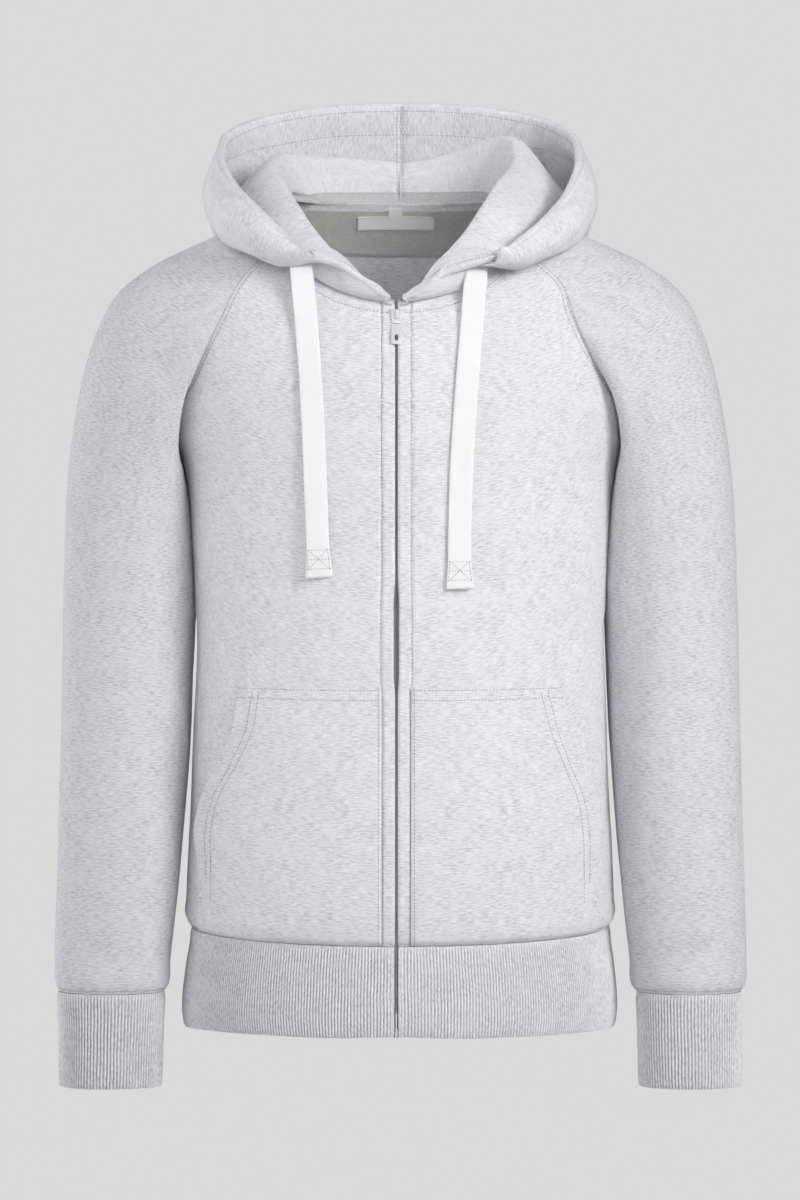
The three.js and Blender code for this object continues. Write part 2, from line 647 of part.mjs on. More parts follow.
// A cross-section of the hood: up from the neck seam, over the crest, down and out, up to the rim
function hoodSection(side, panels, s) {
  const value = (name) => column(hoodRows, 's', name, s)
  const right = side > 0 ? 1 : 0
  const neck = necklineAt(side, panels, s).clone()
  const shift = zipX * Math.max(0, 1 - s / saddleStations.from)
  const crest = point(side * value('cx') + shift, value('cy'), value('cz') + right * value('puff'))
  const fold = point(side * value('bx') + shift, value('by'), value('bz'))
  const rim = point(side * value('rx') + shift, value('ry'), value('rz') - right * value('rimDrop'))
  neck.add(crest.clone().sub(neck).normalize().multiplyScalar(seamGap))
  const depth = Math.max(crest.z - fold.z, 0)
  const outward = fold.clone().sub(neck).setZ(0).normalize()
  const size = Math.min(1, depth / hoodSwell.fullDepth)
  const swollen = (from, to, swell) => (
    mix(from, to, swell.at).addScaledVector(outward, (swell.out + depth * swell.perDepth) * size)
  )
  const up = swollen(neck, crest, hoodSwell.up)
  const over = swollen(crest, fold, hoodSwell.over)
  const out = swollen(fold, rim, hoodSwell.out)
  const curve = new THREE.CatmullRomCurve3([neck, up, crest, over, fold, out, rim], false, 'centripetal')
  return across(6 * stepsPerHoodSpan, (t) => curve.getPoint(t))
}

function makeHood(side, panels) {
  const sections = hoodPlaces.map((s) => hoodSection(side, panels, s))
  const rows = sections[0].map((_, j) => sections.map((section) => section[j]))
  return sheetOf(rows, { flip: side > 0 })
}

function addHood(name, sheet) {
  addCloth(`hood_lining_${name}`, sheet, fleeceThickness, materials.fleece())
  const below = -(fleeceThickness + layerGap)
  addCloth(`hood_outer_${name}`, sheet, fleeceThickness, materials.fleece(), below)
}

// A place on a front by its row and its distance from the zip
function onFront(sheet, side, place, fromZip) {
  const x = zipX + side * fromZip
  const onRow = (row) => {
    let i = 0
    while (i < row.length - 2 && side * row[i + 1].x < side * x) {
      i += 1
    }
    return mix(row[i], row[i + 1], (x - row[i].x) / (row[i + 1].x - row[i].x))
  }
  const low = Math.min(Math.floor(place), sheet.rows.length - 2)
  return mix(onRow(sheet.rows[low]), onRow(sheet.rows[low + 1]), place - low)
}

// A pocket lies on its front, from its own inner edge to its slanted opening
function makePocket(name, side, front) {
  const key = side < 0 ? 'left' : 'right'
  const width = column(torsoRows, 'z', 'half', pocketMiddleZ) - side * zipX
  const rows = pocketRows.map((row) => {
    const inner = Math.asin(pocketInnerX / width)
    const outer = Math.asin(row[key] / width)
    const fromZip = (t) => width * Math.sin(THREE.MathUtils.lerp(inner, outer, t))
    return across(stepsPocketAcross, (t) => onFront(front, side, row.place, fromZip(t)))
  })
  const sheet = sheetOf(rows, { flip: side < 0 })
  addCloth(name, sheet, fleeceThickness, materials.fleece(), pocketLift + fleeceThickness, rows)
}

// Zip tapes lie behind the front edges from the neckline to the bottom of the hem band
function makeZipTape(name, side, panels) {
  const sheet = side < 0 ? panels.frontLeft : panels.frontRight
  const middle = sheet.rows.map((row) => row[0])
  const low = zipTapeLowRows.length
  const heights = [...zipTapeLowRows, ...middle.map((p) => p.z)]
  const behind = Math.max(fleeceThickness, ribThickness) + layerGap
  const rows = heights.map((z, j) => {
    const y = j < low ? -column(torsoRows, 'z', 'front', z) : middle[j - low].y
    return zipTapeColumns.map((x) => point(zipX + side * x, y + behind + x * zipTapeLean, z))
  })
  addCloth(name, sheetOf(rows, { flip: side < 0 }), tapeThickness, materials.tape(), 0, rows)
}

// The slider sits at the top of the closed zip, its pull tab hangs from a crown on its face
function makeSlider() {
  const { width, height, depth } = sliderSize
  const shape = new THREE.Shape()
  shape.moveTo(-width * 0.3, -height / 2)
  shape.lineTo(width * 0.3, -height / 2)
  shape.lineTo(width / 2, height * 0.15)
  shape.lineTo(width / 2, height / 2)
  shape.lineTo(width * 0.18, height / 2)
  shape.lineTo(0, height * 0.2)
  shape.lineTo(-width * 0.18, height / 2)
  shape.lineTo(-width / 2, height / 2)
  shape.lineTo(-width / 2, height * 0.15)
  const geometry = new THREE.ExtrudeGeometry(shape, { depth: depth / 2, bevelEnabled: false })
  geometry.rotateX(radians(90 - chestSlope))
  geometry.translate(zipX, sliderY - layerGap, sliderZ)
  add('zip_slider', geometry, materials.zip())
}

function makePull() {
  const { width, length, thickness } = pullSize
  const shape = new THREE.Shape()
  shape.moveTo(-width * 0.28, 0)
  shape.lineTo(width * 0.28, 0)
  shape.lineTo(width / 2, -length * 0.3)
  shape.lineTo(width / 2, -length * 0.85)
  shape.quadraticCurveTo(width / 2, -length, width * 0.3, -length)
  shape.lineTo(-width * 0.3, -length)
  shape.quadraticCurveTo(-width / 2, -length, -width / 2, -length * 0.85)
  shape.lineTo(-width / 2, -length * 0.3)
  const holeSides = 12
  const holePoints = across(holeSides - 1, (t) => {
    const angle = 2 * Math.PI * t * (holeSides - 1) / holeSides
    return new THREE.Vector2(width * 0.2 * Math.cos(angle), length * (0.16 * Math.sin(angle) - 0.66))
  })
  shape.holes.push(new THREE.Path(holePoints))
  const settings = { depth: thickness, bevelEnabled: false, curveSegments: 4 }
  const geometry = new THREE.ExtrudeGeometry(shape, settings)
  geometry.rotateX(radians(90 - chestSlope))
  geometry.translate(zipX, pullHingeY, pullHingeZ)
  add('zip_pull', geometry, materials.zip())
}

// A metal retainer holds the bottom ends of the zip
function makeRetainer() {
  const { width, depth, height, aboveBottom, sunk } = retainer
  const middleZ = hemBottomZ + aboveBottom
  const front = column(torsoRows, 'z', 'front', middleZ)
  const geometry = new THREE.BoxGeometry(width, depth, height)
  geometry.translate(zipX, -front + sunk, middleZ)
  add('zip_retainer', geometry, materials.zip())
}

// Flat cords, an eight-sided section swept along the route
function makeCord(name, route) {
  const curve = new THREE.CatmullRomCurve3(route.map((p) => point(...p)), false, 'centripetal')
  const half = cordWidth / 2
  const edge = cordThickness / 2
  const low = edge * cordEdgeShare
  const shape = new THREE.Shape([
    [half, low], [half - cordEdge, edge], [-half + cordEdge, edge], [-half, low],
    [-half, -low], [-half + cordEdge, -edge], [half - cordEdge, -edge], [half, -low],
  ].map(([x, y]) => new THREE.Vector2(x, y)))
  const settings = { steps: stepsCord, extrudePath: curve, bevelEnabled: false }
  const geometry = new THREE.ExtrudeGeometry(shape, settings)
  add(name, geometry, materials.cotton())
}

// Tape, yoke and labels lie on the inside of the back, from its own points
function makeNeckPieces(panels) {
  const backPoint = (x, z) => {
    const rows = panels.back.rows
    const top = rows.length - 1
    const half = stepsBackAcross / 2
    const sideAt = (j, place) => {
      const i = Math.min(Math.floor(place), rows[j].length - 2)
      return mix(rows[j][i], rows[j][i + 1], place - i)
    }
    let best = sideAt(top, half)
    let bestMiss = Infinity
    for (let j = top; j > stepsHemToUnderarm; j -= 0.125) {
      const low = Math.floor(j)
      const high = Math.min(low + 1, top)
      for (let place = 1; place < stepsBackAcross; place += 0.125) {
        const p = mix(sideAt(low, place), sideAt(high, place), j - low)
        const miss = (p.x - x) ** 2 + (p.z - z) ** 2
        if (miss < bestMiss) {
          bestMiss = miss
          best = p
        }
      }
    }
    return best
  }
  const spread = (from, to, steps) => across(steps, (t) => THREE.MathUtils.lerp(from, to, t))
  const patch = (name, xs, zs, under, material) => {
    const rows = zs.map((zOf) => xs.map((x) => backPoint(x, zOf(x))))
    const sheet = sheetOf(rows, { flip: true })
    addCloth(name, sheet, tapeThickness, material, -under, rows)
  }
  const inside = fleeceThickness + layerGap * 2
  const overYoke = inside + tapeThickness + layerGap * 2
  const top = () => neckTapeTopZ
  const tapeBottomZ = neckTapeTopZ - neckTapeDepth
  const yokeTopEdge = tapeBottomZ - yokeBelowTape
  const yokeBottom = (x) => yokeTopZ - yokeDepth * (1 - (x / yokeSpread) ** 4) ** 0.25
  const yokeLow = (x) => Math.min(yokeBottom(x), yokeTopEdge - yokeLeast)
  const between = (x) => (yokeLow(x) + yokeTopEdge) / 2
  const wide = spread(-neckPiecesHalf, neckPiecesHalf, 12)
  patch('neck_tape', wide, [() => tapeBottomZ, top], inside, materials.cotton())
  patch('neck_yoke', wide, [yokeLow, between, () => yokeTopEdge], inside, materials.inside())
  const labelXs = spread(labelMiddleX - labelWidth / 2, labelMiddleX + labelWidth / 2, 4)
  const labelZs = [() => labelBottomZ - labelSag, () => labelTopZ - labelRise]
  patch('label_main', labelXs, labelZs, overYoke, materials.cotton())
  const tabXs = spread(sizeTabX - sizeTabWidth / 2, sizeTabX + sizeTabWidth / 2, 2)
  patch('label_size', tabXs, [() => sizeTabBottomZ - labelSag, () => 0.5], overYoke, materials.cotton())
}

const panels = makePanels()
const sleeves = { left: makeSleeve(-1), right: makeSleeve(1) }
const hoods = { left: makeHood(-1, panels), right: makeHood(1, panels) }
const meeting = [...Object.values(panels), ...Object.values(sleeves), ...Object.values(hoods)]
meeting.forEach(noteSeams)
addCloth('front_left', panels.frontLeft, fleeceThickness, materials.fleece())
addCloth('front_right', panels.frontRight, fleeceThickness, materials.fleece())
addCloth('back', panels.back, fleeceThickness, materials.fleece())
addCloth('sleeve_left', sleeves.left, fleeceThickness, materials.fleece())
addCloth('sleeve_right', sleeves.right, fleeceThickness, materials.fleece())
makeHemRib()
makeCuff('cuff_left', -1)
makeCuff('cuff_right', 1)
addHood('left', hoods.left)
addHood('right', hoods.right)
makePocket('pocket_left', -1, panels.frontLeft)
makePocket('pocket_right', 1, panels.frontRight)
makeZipTape('zip_tape_left', -1, panels)
makeZipTape('zip_tape_right', 1, panels)
makeSlider()
makePull()
makeRetainer()
makeCord('drawcord_left', cordRoutes.left)
makeCord('drawcord_right', cordRoutes.right)
makeNeckPieces(panels)

export default garment
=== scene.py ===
import bpy
import bmesh
import math
import numpy as np
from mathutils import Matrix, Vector


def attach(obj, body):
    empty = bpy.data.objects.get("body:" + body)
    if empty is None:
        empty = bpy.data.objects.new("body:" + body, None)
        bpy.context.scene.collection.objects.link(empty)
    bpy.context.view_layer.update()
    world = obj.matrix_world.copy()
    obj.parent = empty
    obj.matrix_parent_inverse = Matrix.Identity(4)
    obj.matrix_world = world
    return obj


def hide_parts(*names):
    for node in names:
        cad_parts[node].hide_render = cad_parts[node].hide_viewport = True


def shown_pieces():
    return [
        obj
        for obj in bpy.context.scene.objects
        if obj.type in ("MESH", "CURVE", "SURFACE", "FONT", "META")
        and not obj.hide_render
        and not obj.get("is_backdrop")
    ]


# Grey melange zip hoodie, standing hollow as it is worn. Blender is in metres, the tables are in millimetres.
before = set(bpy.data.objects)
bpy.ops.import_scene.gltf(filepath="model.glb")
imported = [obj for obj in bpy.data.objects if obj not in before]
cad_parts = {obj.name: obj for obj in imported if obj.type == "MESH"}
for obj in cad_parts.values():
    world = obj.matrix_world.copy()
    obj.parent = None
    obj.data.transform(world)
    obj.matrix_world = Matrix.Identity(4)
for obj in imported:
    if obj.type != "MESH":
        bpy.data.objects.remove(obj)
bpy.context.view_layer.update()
scene = bpy.context.scene
print("frame loaded:", len(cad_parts), "nodes")

studio = {
    "cameraPlace": (0.0, -3.8, -0.34),
    "frameHeight": 1.02,  # what the picture shows at the middle of the garment
    "backdrop": 0.70,
    "ambientSides": 0.84,  # the surrounding light is strongest at the sides
    "ambientLeft": 0.47,  # and stronger on the left
    "ambientAll": 0.03,
    "floorHeight": -0.97,
    "floorRadius": 0.68,
    "lights": [  # name, place, aims at, width, power, spread in degrees
        ("keyRight", (2.4, -2.2, 0.9), (0, 0, -0.3), 1.3, 52, 180),
        ("keyFront", (1.5, -2.3, 0.6), (0, 0, -0.3), 1.0, 16, 180),
        ("chestSoft", (0.35, -3.3, 0.1), (0.03, 0, -0.36), 0.7, 0.28, 16),
        ("hoodSoft", (0.2, -3.2, 1.0), (0, 0, 0.12), 0.5, 0.1, 10),
    ],
}


def makeStudio():
    camera = bpy.data.cameras.new("camera")
    camera.sensor_width = 36
    camera.lens = 36 * abs(studio["cameraPlace"][1]) / studio["frameHeight"]
    holder = bpy.data.objects.new("camera", camera)
    holder.location = studio["cameraPlace"]
    holder.rotation_euler = (math.radians(90), 0, 0)
    scene.collection.objects.link(holder)
    scene.camera = holder
    for name, place, aim, width, power, spread in studio["lights"]:
        light = bpy.data.lights.new(name, "AREA")
        light.shape = "DISK"
        light.size = width
        light.energy = power
        light.spread = math.radians(spread)
        lamp = bpy.data.objects.new(name, light)
        lamp.location = place
        lamp.rotation_euler = (Vector(aim) - Vector(place)).to_track_quat("-Z", "Y").to_euler()
        scene.collection.objects.link(lamp)
    world = bpy.data.worlds.new("studio")
    scene.world = world
    world.use_nodes = True
    tree = world.node_tree
    tree.nodes.clear()
    out = tree.nodes.new("ShaderNodeOutputWorld")
    mixer = tree.nodes.new("ShaderNodeMixShader")
    rays = tree.nodes.new("ShaderNodeLightPath")
    seen = tree.nodes.new("ShaderNodeBackground")
    around = tree.nodes.new("ShaderNodeBackground")
    seen.inputs["Color"].default_value = (studio["backdrop"],) * 3 + (1,)
    around.inputs["Color"].default_value = (0.98, 0.98, 1.0, 1)
    way = tree.nodes.new("ShaderNodeTexCoord")
    split = tree.nodes.new("ShaderNodeSeparateXYZ")
    sides = tree.nodes.new("ShaderNodeMath")
    sides.operation = "ABSOLUTE"
    scaled = tree.nodes.new("ShaderNodeMath")
    scaled.operation = "MULTIPLY_ADD"
    scaled.inputs[1].default_value = studio["ambientSides"]
    scaled.inputs[2].default_value = studio["ambientAll"]
    leaning = tree.nodes.new("ShaderNodeMath")
    leaning.operation = "MULTIPLY_ADD"
    leaning.inputs[1].default_value = -studio["ambientLeft"]
    tree.links.new(way.outputs["Generated"], split.inputs[0])
    tree.links.new(split.outputs["X"], sides.inputs[0])
    tree.links.new(sides.outputs[0], scaled.inputs[0])
    tree.links.new(split.outputs["X"], leaning.inputs[0])
    tree.links.new(scaled.outputs[0], leaning.inputs[2])
    tree.links.new(leaning.outputs[0], around.inputs["Strength"])
    tree.links.new(rays.outputs["Is Camera Ray"], mixer.inputs[0])
    tree.links.new(around.outputs[0], mixer.inputs[1])
    tree.links.new(seen.outputs[0], mixer.inputs[2])
    tree.links.new(mixer.outputs[0], out.inputs[0])
    scene.view_settings.view_transform = "Standard"
    scene.view_settings.look = "None"


makeStudio()


def mixed(a, b, t):
    return a + (b - a) * t


def smoothStep(low, high, value):
    t = np.clip((value - low) / (high - low), 0, 1)
    return t * t * (3 - 2 * t)


def unit(vectors):
    length = np.linalg.norm(vectors, axis=-1, keepdims=True)
    return vectors / np.maximum(length, 1e-9)


def column(table, key, name, place):  # a table's named column at any place, on a smooth line
    keys = np.array(table[key], float)
    values = np.array(table[name], float)
    place = np.asarray(place, float)
    if keys[1] < keys[0]:
        keys, place = -keys, -place
    span = np.diff(keys)
    slopes = np.diff(values) / span
    last = len(slopes) - 1
    i = np.clip(np.searchsorted(keys, place, side="left") - 1, 0, last)
    here = slopes[i]

    def soften(a):
        limited = np.sign(here) * np.minimum(np.abs(a), 3 * np.abs(here))
        return np.where(a * here <= 0, 0.0, limited)

    before = np.where(i == 0, here, soften((slopes[np.maximum(i - 1, 0)] + here) / 2))
    after = np.where(i == last, here, soften((slopes[np.minimum(i + 1, last)] + here) / 2))
    t = np.clip((place - keys[i]) / span[i], 0, 1)
    blend = t * t * (3 - 2 * t)
    rise = t * (1 - t) * (1 - t)
    fall = t * t * (t - 1)
    return values[i] * (1 - blend) + values[i + 1] * blend + span[i] * (rise * before + fall * after)


def stacked(x, y, z):
    return np.stack(np.broadcast_arrays(x, y, z), axis=-1).astype(float)


def stackedMap(u, v):
    return np.stack(np.broadcast_arrays(u, v), axis=-1).reshape(-1, 2)


def steps(first, last, count):
    return np.linspace(first, last, count + 1)


def crowded(count, pull=0.6):  # from 0 to 1, closer together at both ends
    s = steps(0, 1, count)
    return s - pull * np.sin(2 * np.pi * s) / (2 * np.pi)


def valueNoise(points, size, seed):  # smooth noise from -1 to 1, its lumps that many millimetres wide
    lattice = np.random.default_rng(seed).uniform(-1, 1, (32, 32, 32))
    q = points / size + 100.0
    cell = np.floor(q).astype(int)
    f = q - cell
    f = f * f * (3 - 2 * f)
    total = 0
    for dx in (0, 1):
        for dy in (0, 1):
            for dz in (0, 1):
                weight = (f[..., 0] if dx else 1 - f[..., 0]) * (f[..., 1] if dy else 1 - f[..., 1])
                weight = weight * (f[..., 2] if dz else 1 - f[..., 2])
                corner = (cell + (dx, dy, dz)) % 32
                total = total + weight * lattice[corner[..., 0], corner[..., 1], corner[..., 2]]
    return total


def newMaterial(name):
    material = bpy.data.materials.new(name)
    material.use_nodes = True
    return material, material.node_tree, material.node_tree.nodes["Principled BSDF"]


def node(tree, kind, **values):
    made = tree.nodes.new(kind)
    for key, value in values.items():
        setattr(made, key, value)
    return made


def groupSockets(group, inputs, outputs):
    for name, kind, value in inputs:
        socket = group.interface.new_socket(name=name, in_out="INPUT", socket_type=kind)
        if value is not None:
            socket.default_value = value
    for name, kind in outputs:
        group.interface.new_socket(name=name, in_out="OUTPUT", socket_type=kind)


def melangeGroup():  # dark fibres drawn out along the knitted rows, over a soft cloudiness
    group = bpy.data.node_groups.new("melangeYarn", "ShaderNodeTree")
    groupSockets(
        group,
        [
            ("Light", "NodeSocketColor", (0.8, 0.8, 0.83, 1)),
            ("Dark", "NodeSocketColor", (0.5, 0.5, 0.54, 1)),
            ("Streak Length", "NodeSocketFloat", 0.007),
            ("Streak Width", "NodeSocketFloat", 0.0011),
            ("Amount", "NodeSocketFloat", 0.6),
        ],
        [("Color", "NodeSocketColor"), ("Height", "NodeSocketFloat")],
    )
    enter = node(group, "NodeGroupInput")
    leave = node(group, "NodeGroupOutput")
    link = group.links.new
    place = node(group, "ShaderNodeTexCoord")
    stretch = node(group, "ShaderNodeCombineXYZ")
    across = node(group, "ShaderNodeMath", operation="DIVIDE")
    along = node(group, "ShaderNodeMath", operation="DIVIDE")
    across.inputs[0].default_value = 1
    along.inputs[0].default_value = 1
    link(enter.outputs["Streak Length"], along.inputs[1])
    link(enter.outputs["Streak Width"], across.inputs[1])
    link(along.outputs[0], stretch.inputs["X"])
    link(across.outputs[0], stretch.inputs["Y"])
    scaled = node(group, "ShaderNodeVectorMath", operation="MULTIPLY")
    link(place.outputs["UV"], scaled.inputs[0])
    link(stretch.outputs[0], scaled.inputs[1])
    streaks = node(group, "ShaderNodeTexNoise")
    streaks.inputs["Scale"].default_value = 1
    streaks.inputs["Detail"].default_value = 3
    streaks.inputs["Roughness"].default_value = 0.6
    streaks.inputs["Lacunarity"].default_value = 2.2
    streaks.inputs["Distortion"].default_value = 0.1
    link(scaled.outputs[0], streaks.inputs["Vector"])
    picked = node(group, "ShaderNodeMapRange", interpolation_type="SMOOTHSTEP")
    picked.inputs["From Min"].default_value = 0.36
    picked.inputs["From Max"].default_value = 0.72
    link(streaks.outputs["Fac"], picked.inputs["Value"])
    clouds = node(group, "ShaderNodeTexNoise")
    clouds.inputs["Scale"].default_value = 55
    clouds.inputs["Detail"].default_value = 2
    link(place.outputs["UV"], clouds.inputs["Vector"])
    cloudy = node(group, "ShaderNodeMapRange")
    cloudy.inputs["From Min"].default_value = 0.3
    cloudy.inputs["From Max"].default_value = 0.7
    cloudy.inputs["To Min"].default_value = 0.6
    cloudy.inputs["To Max"].default_value = 1.25
    link(clouds.outputs["Fac"], cloudy.inputs["Value"])
    weight = node(group, "ShaderNodeMath", operation="MULTIPLY")
    link(picked.outputs[0], weight.inputs[0])
    link(cloudy.outputs[0], weight.inputs[1])
    dosed = node(group, "ShaderNodeMath", operation="MULTIPLY", use_clamp=True)
    link(weight.outputs[0], dosed.inputs[0])
    link(enter.outputs["Amount"], dosed.inputs[1])
    blend = node(group, "ShaderNodeMix", data_type="RGBA")
    link(dosed.outputs[0], blend.inputs["Factor"])
    link(enter.outputs["Light"], blend.inputs[6])
    link(enter.outputs["Dark"], blend.inputs[7])
    nap = node(group, "ShaderNodeTexNoise")
    nap.inputs["Scale"].default_value = 1100
    nap.inputs["Detail"].default_value = 3
    link(place.outputs["Object"], nap.inputs["Vector"])
    height = node(group, "ShaderNodeMath", operation="MULTIPLY_ADD")
    height.inputs[1].default_value = 0.6
    link(nap.outputs["Fac"], height.inputs[0])
    link(streaks.outputs["Fac"], height.inputs[2])
    link(blend.outputs[2], leave.inputs["Color"])
    link(height.outputs[0], leave.inputs["Height"])
    return group


melange = melangeGroup()


def clothMaterial(name, light, dark, length, width, amount, bump, sheen, shadeRibTroughs=False):
    material, tree, shader = newMaterial(name)
    yarn = node(tree, "ShaderNodeGroup", node_tree=melange)
    yarn.inputs["Light"].default_value = (*light, 1)
    yarn.inputs["Dark"].default_value = (*dark, 1)
    yarn.inputs["Streak Length"].default_value = length
    yarn.inputs["Streak Width"].default_value = width
    yarn.inputs["Amount"].default_value = amount
    relief = node(tree, "ShaderNodeBump")
    relief.inputs["Strength"].default_value = 1
    relief.inputs["Distance"].default_value = bump
    tree.links.new(yarn.outputs["Color"], shader.inputs["Base Color"])
    if shadeRibTroughs:  # painted shade: the colour is darkened in the troughs between the ribs, where shade falls
        rise = node(tree, "ShaderNodeAttribute", attribute_name="rise")
        shade = node(tree, "ShaderNodeMapRange", interpolation_type="SMOOTHSTEP")
        shade.inputs["From Min"].default_value = -1
        shade.inputs["From Max"].default_value = 0.4
        shade.inputs["To Min"].default_value = 0.55
        shade.inputs["To Max"].default_value = 1
        troughShaded = node(tree, "ShaderNodeVectorMath", operation="SCALE")
        tree.links.new(rise.outputs["Fac"], shade.inputs["Value"])
        tree.links.new(yarn.outputs["Color"], troughShaded.inputs[0])
        tree.links.new(shade.outputs[0], troughShaded.inputs["Scale"])
        tree.links.new(troughShaded.outputs[0], shader.inputs["Base Color"])
    tree.links.new(yarn.outputs["Height"], relief.inputs["Height"])
    tree.links.new(relief.outputs["Normal"], shader.inputs["Normal"])
    shader.inputs["Roughness"].default_value = 0.95
    shader.inputs["Specular IOR Level"].default_value = 0.15
    shader.inputs["Sheen Weight"].default_value = sheen
    shader.inputs["Sheen Roughness"].default_value = 0.5
    return material


def cottonMaterial():  # white tubular braid: two slanting sets of yarns
    material, tree, shader = newMaterial("cottonBraid")
    place = node(tree, "ShaderNodeTexCoord")
    waves = []
    for turn in (38, -38):
        turned = node(tree, "ShaderNodeMapping")
        turned.inputs["Rotation"].default_value = (0, 0, math.radians(turn))
        wave = node(tree, "ShaderNodeTexWave", wave_type="BANDS", bands_direction="X")
        wave.inputs["Scale"].default_value = 260
        wave.inputs["Distortion"].default_value = 0.8
        wave.inputs["Detail"].default_value = 1
        tree.links.new(place.outputs["UV"], turned.inputs["Vector"])
        tree.links.new(turned.outputs[0], wave.inputs["Vector"])
        waves.append(wave)
    both = node(tree, "ShaderNodeMath", operation="MAXIMUM")
    tree.links.new(waves[0].outputs["Fac"], both.inputs[0])
    tree.links.new(waves[1].outputs["Fac"], both.inputs[1])
    tint = node(tree, "ShaderNodeMapRange", data_type="FLOAT")
    tint.inputs["To Min"].default_value = 0.86
    tint.inputs["To Max"].default_value = 0.95
    tree.links.new(both.outputs[0], tint.inputs["Value"])
    colour = node(tree, "ShaderNodeCombineColor")
    for socket in ("Red", "Green", "Blue"):
        tree.links.new(tint.outputs[0], colour.inputs[socket])
    relief = node(tree, "ShaderNodeBump")
    relief.inputs["Strength"].default_value = 0.6
    relief.inputs["Distance"].default_value = 0.0003
    tree.links.new(both.outputs[0], relief.inputs["Height"])
    tree.links.new(relief.outputs["Normal"], shader.inputs["Normal"])
    tree.links.new(colour.outputs[0], shader.inputs["Base Color"])
    shader.inputs["Roughness"].default_value = 0.85
    shader.inputs["Specular IOR Level"].default_value = 0.2
    shader.inputs["Sheen Weight"].default_value = 0.1
    return material


def grainMaterial(name, light, dark, scale, rough, metallic, bump):  # thread, tape weave, paint
    material, tree, shader = newMaterial(name)
    place = node(tree, "ShaderNodeTexCoord")
    grain = node(tree, "ShaderNodeTexNoise")
    grain.inputs["Scale"].default_value = scale
    grain.inputs["Detail"].default_value = 3
    tree.links.new(place.outputs["Object"], grain.inputs["Vector"])
    blend = node(tree, "ShaderNodeMix", data_type="RGBA")
    blend.inputs[6].default_value = (*light, 1)
    blend.inputs[7].default_value = (*dark, 1)
    tree.links.new(grain.outputs["Fac"], blend.inputs["Factor"])
    tree.links.new(blend.outputs[2], shader.inputs["Base Color"])
    relief = node(tree, "ShaderNodeBump")
    relief.inputs["Strength"].default_value = 0.5
    relief.inputs["Distance"].default_value = bump
    tree.links.new(grain.outputs["Fac"], relief.inputs["Height"])
    tree.links.new(relief.outputs["Normal"], shader.inputs["Normal"])
    shader.inputs["Roughness"].default_value = rough
    shader.inputs["Metallic"].default_value = metallic
    return material


yarns = {  # light and dark fibre, streak length and width in metres, amount, bump in metres, sheen
    "fleece": ("fleeceMelange", (0.855, 0.855, 0.88), (0.58, 0.58, 0.61), 0.0065, 0.001, 1, 0.0004, 0.25),
    # painted shade: the sleeves use the body's fleece colours made darker, standing in for the shade that
    # falls on the sleeves
    "sleeve": ("sleeveMelangePaintedShade", (0.785, 0.785, 0.81), (0.51, 0.51, 0.54), 0.0065, 0.001, 1, 0.0004, 0.25),
    "yoke": ("yokeMelange", (0.58, 0.575, 0.56), (0.46, 0.455, 0.44), 0.005, 0.0012, 1, 0.0003, 0.1),
    # the rib material also paints shade in the troughs between the ribs
    "rib": ("ribMelangeShadedTroughs", (0.90, 0.895, 0.92), (0.6, 0.6, 0.63), 0.004, 0.0013, 0.9, 0.0004, 0.2, True),
    "neckTape": ("tapeJersey", (0.60, 0.595, 0.59), (0.47, 0.465, 0.46), 0.003, 0.001, 1, 0.0003, 0.1),
}
grains = {  # light and dark, scale, roughness, metallic, bump in metres
    # grey thread, its colour darkened to paint the shade lines along the seams
    "thread": ("sewingThreadPaintedShade", (0.44, 0.44, 0.47), (0.34, 0.34, 0.37), 2500, 0.7, 0, 0.0001),
    "tape": ("zipTapeWeave", (0.42, 0.42, 0.44), (0.3, 0.3, 0.32), 1800, 0.85, 0, 0.0002),
    # the coil's own grey, made darker to paint the shade in the gap between the zip's edges
    "coil": ("zipCoilPaintedShade", (0.2, 0.2, 0.21), (0.12, 0.12, 0.13), 900, 0.5, 0, 0.0001),
    "metal": ("paintedZip", (0.76, 0.76, 0.77), (0.66, 0.66, 0.68), 300, 0.35, 0.15, 0.00005),
}
finish = {name: clothMaterial(*values) for name, values in yarns.items()}
finish["cotton"] = cottonMaterial()
finish.update({name: grainMaterial(*values) for name, values in grains.items()})
print("materials made")


def mapOnto(mesh, uvs):  # the cloth's own map, one place per point in millimetres
    layer = mesh.uv_layers.new(name="cloth")
    loops = np.zeros(len(mesh.loops), np.int32)
    mesh.loops.foreach_get("vertex_index", loops)
    layer.data.foreach_set("uv", (np.asarray(uvs)[loops] * 0.001).astype(np.float32).ravel())


def frontAndBack(uv):  # the map of a wall's inner face lies beside that of its outer face
    return np.concatenate([uv, uv + 900])


def sideWord(side):
    return "left" if side < 0 else "right"


def declare(piece, nodeName, part="garment"):  # the body it rides and what it replaces
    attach(piece, part)
    if nodeName:
        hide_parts(nodeName)


def putMesh(name, points, faces, material, uvs):  # points in millimetres
    mesh = bpy.data.meshes.new(name)
    mesh.from_pydata((np.asarray(points) * 0.001).tolist(), [], np.asarray(faces).tolist())
    mesh.materials.append(finish[material])
    mapOnto(mesh, uvs)
    mesh.polygons.foreach_set("use_smooth", [True] * len(mesh.polygons))
    mesh.set_sharp_from_angle(angle=math.radians(50))
    mesh.update()
    made = bpy.data.objects.new(name, mesh)
    scene.collection.objects.link(made)
    return made


def gridFaces(rows, columns, closed, start=0, turned=False):
    j, i = np.meshgrid(np.arange(rows - 1), np.arange(columns if closed else columns - 1), indexing="ij")
    a = start + j * columns + i
    b = start + j * columns + (i + 1) % columns
    faces = np.stack([a, b, b + columns, a + columns], axis=-1).reshape(-1, 4)
    return faces[:, ::-1] if turned else faces


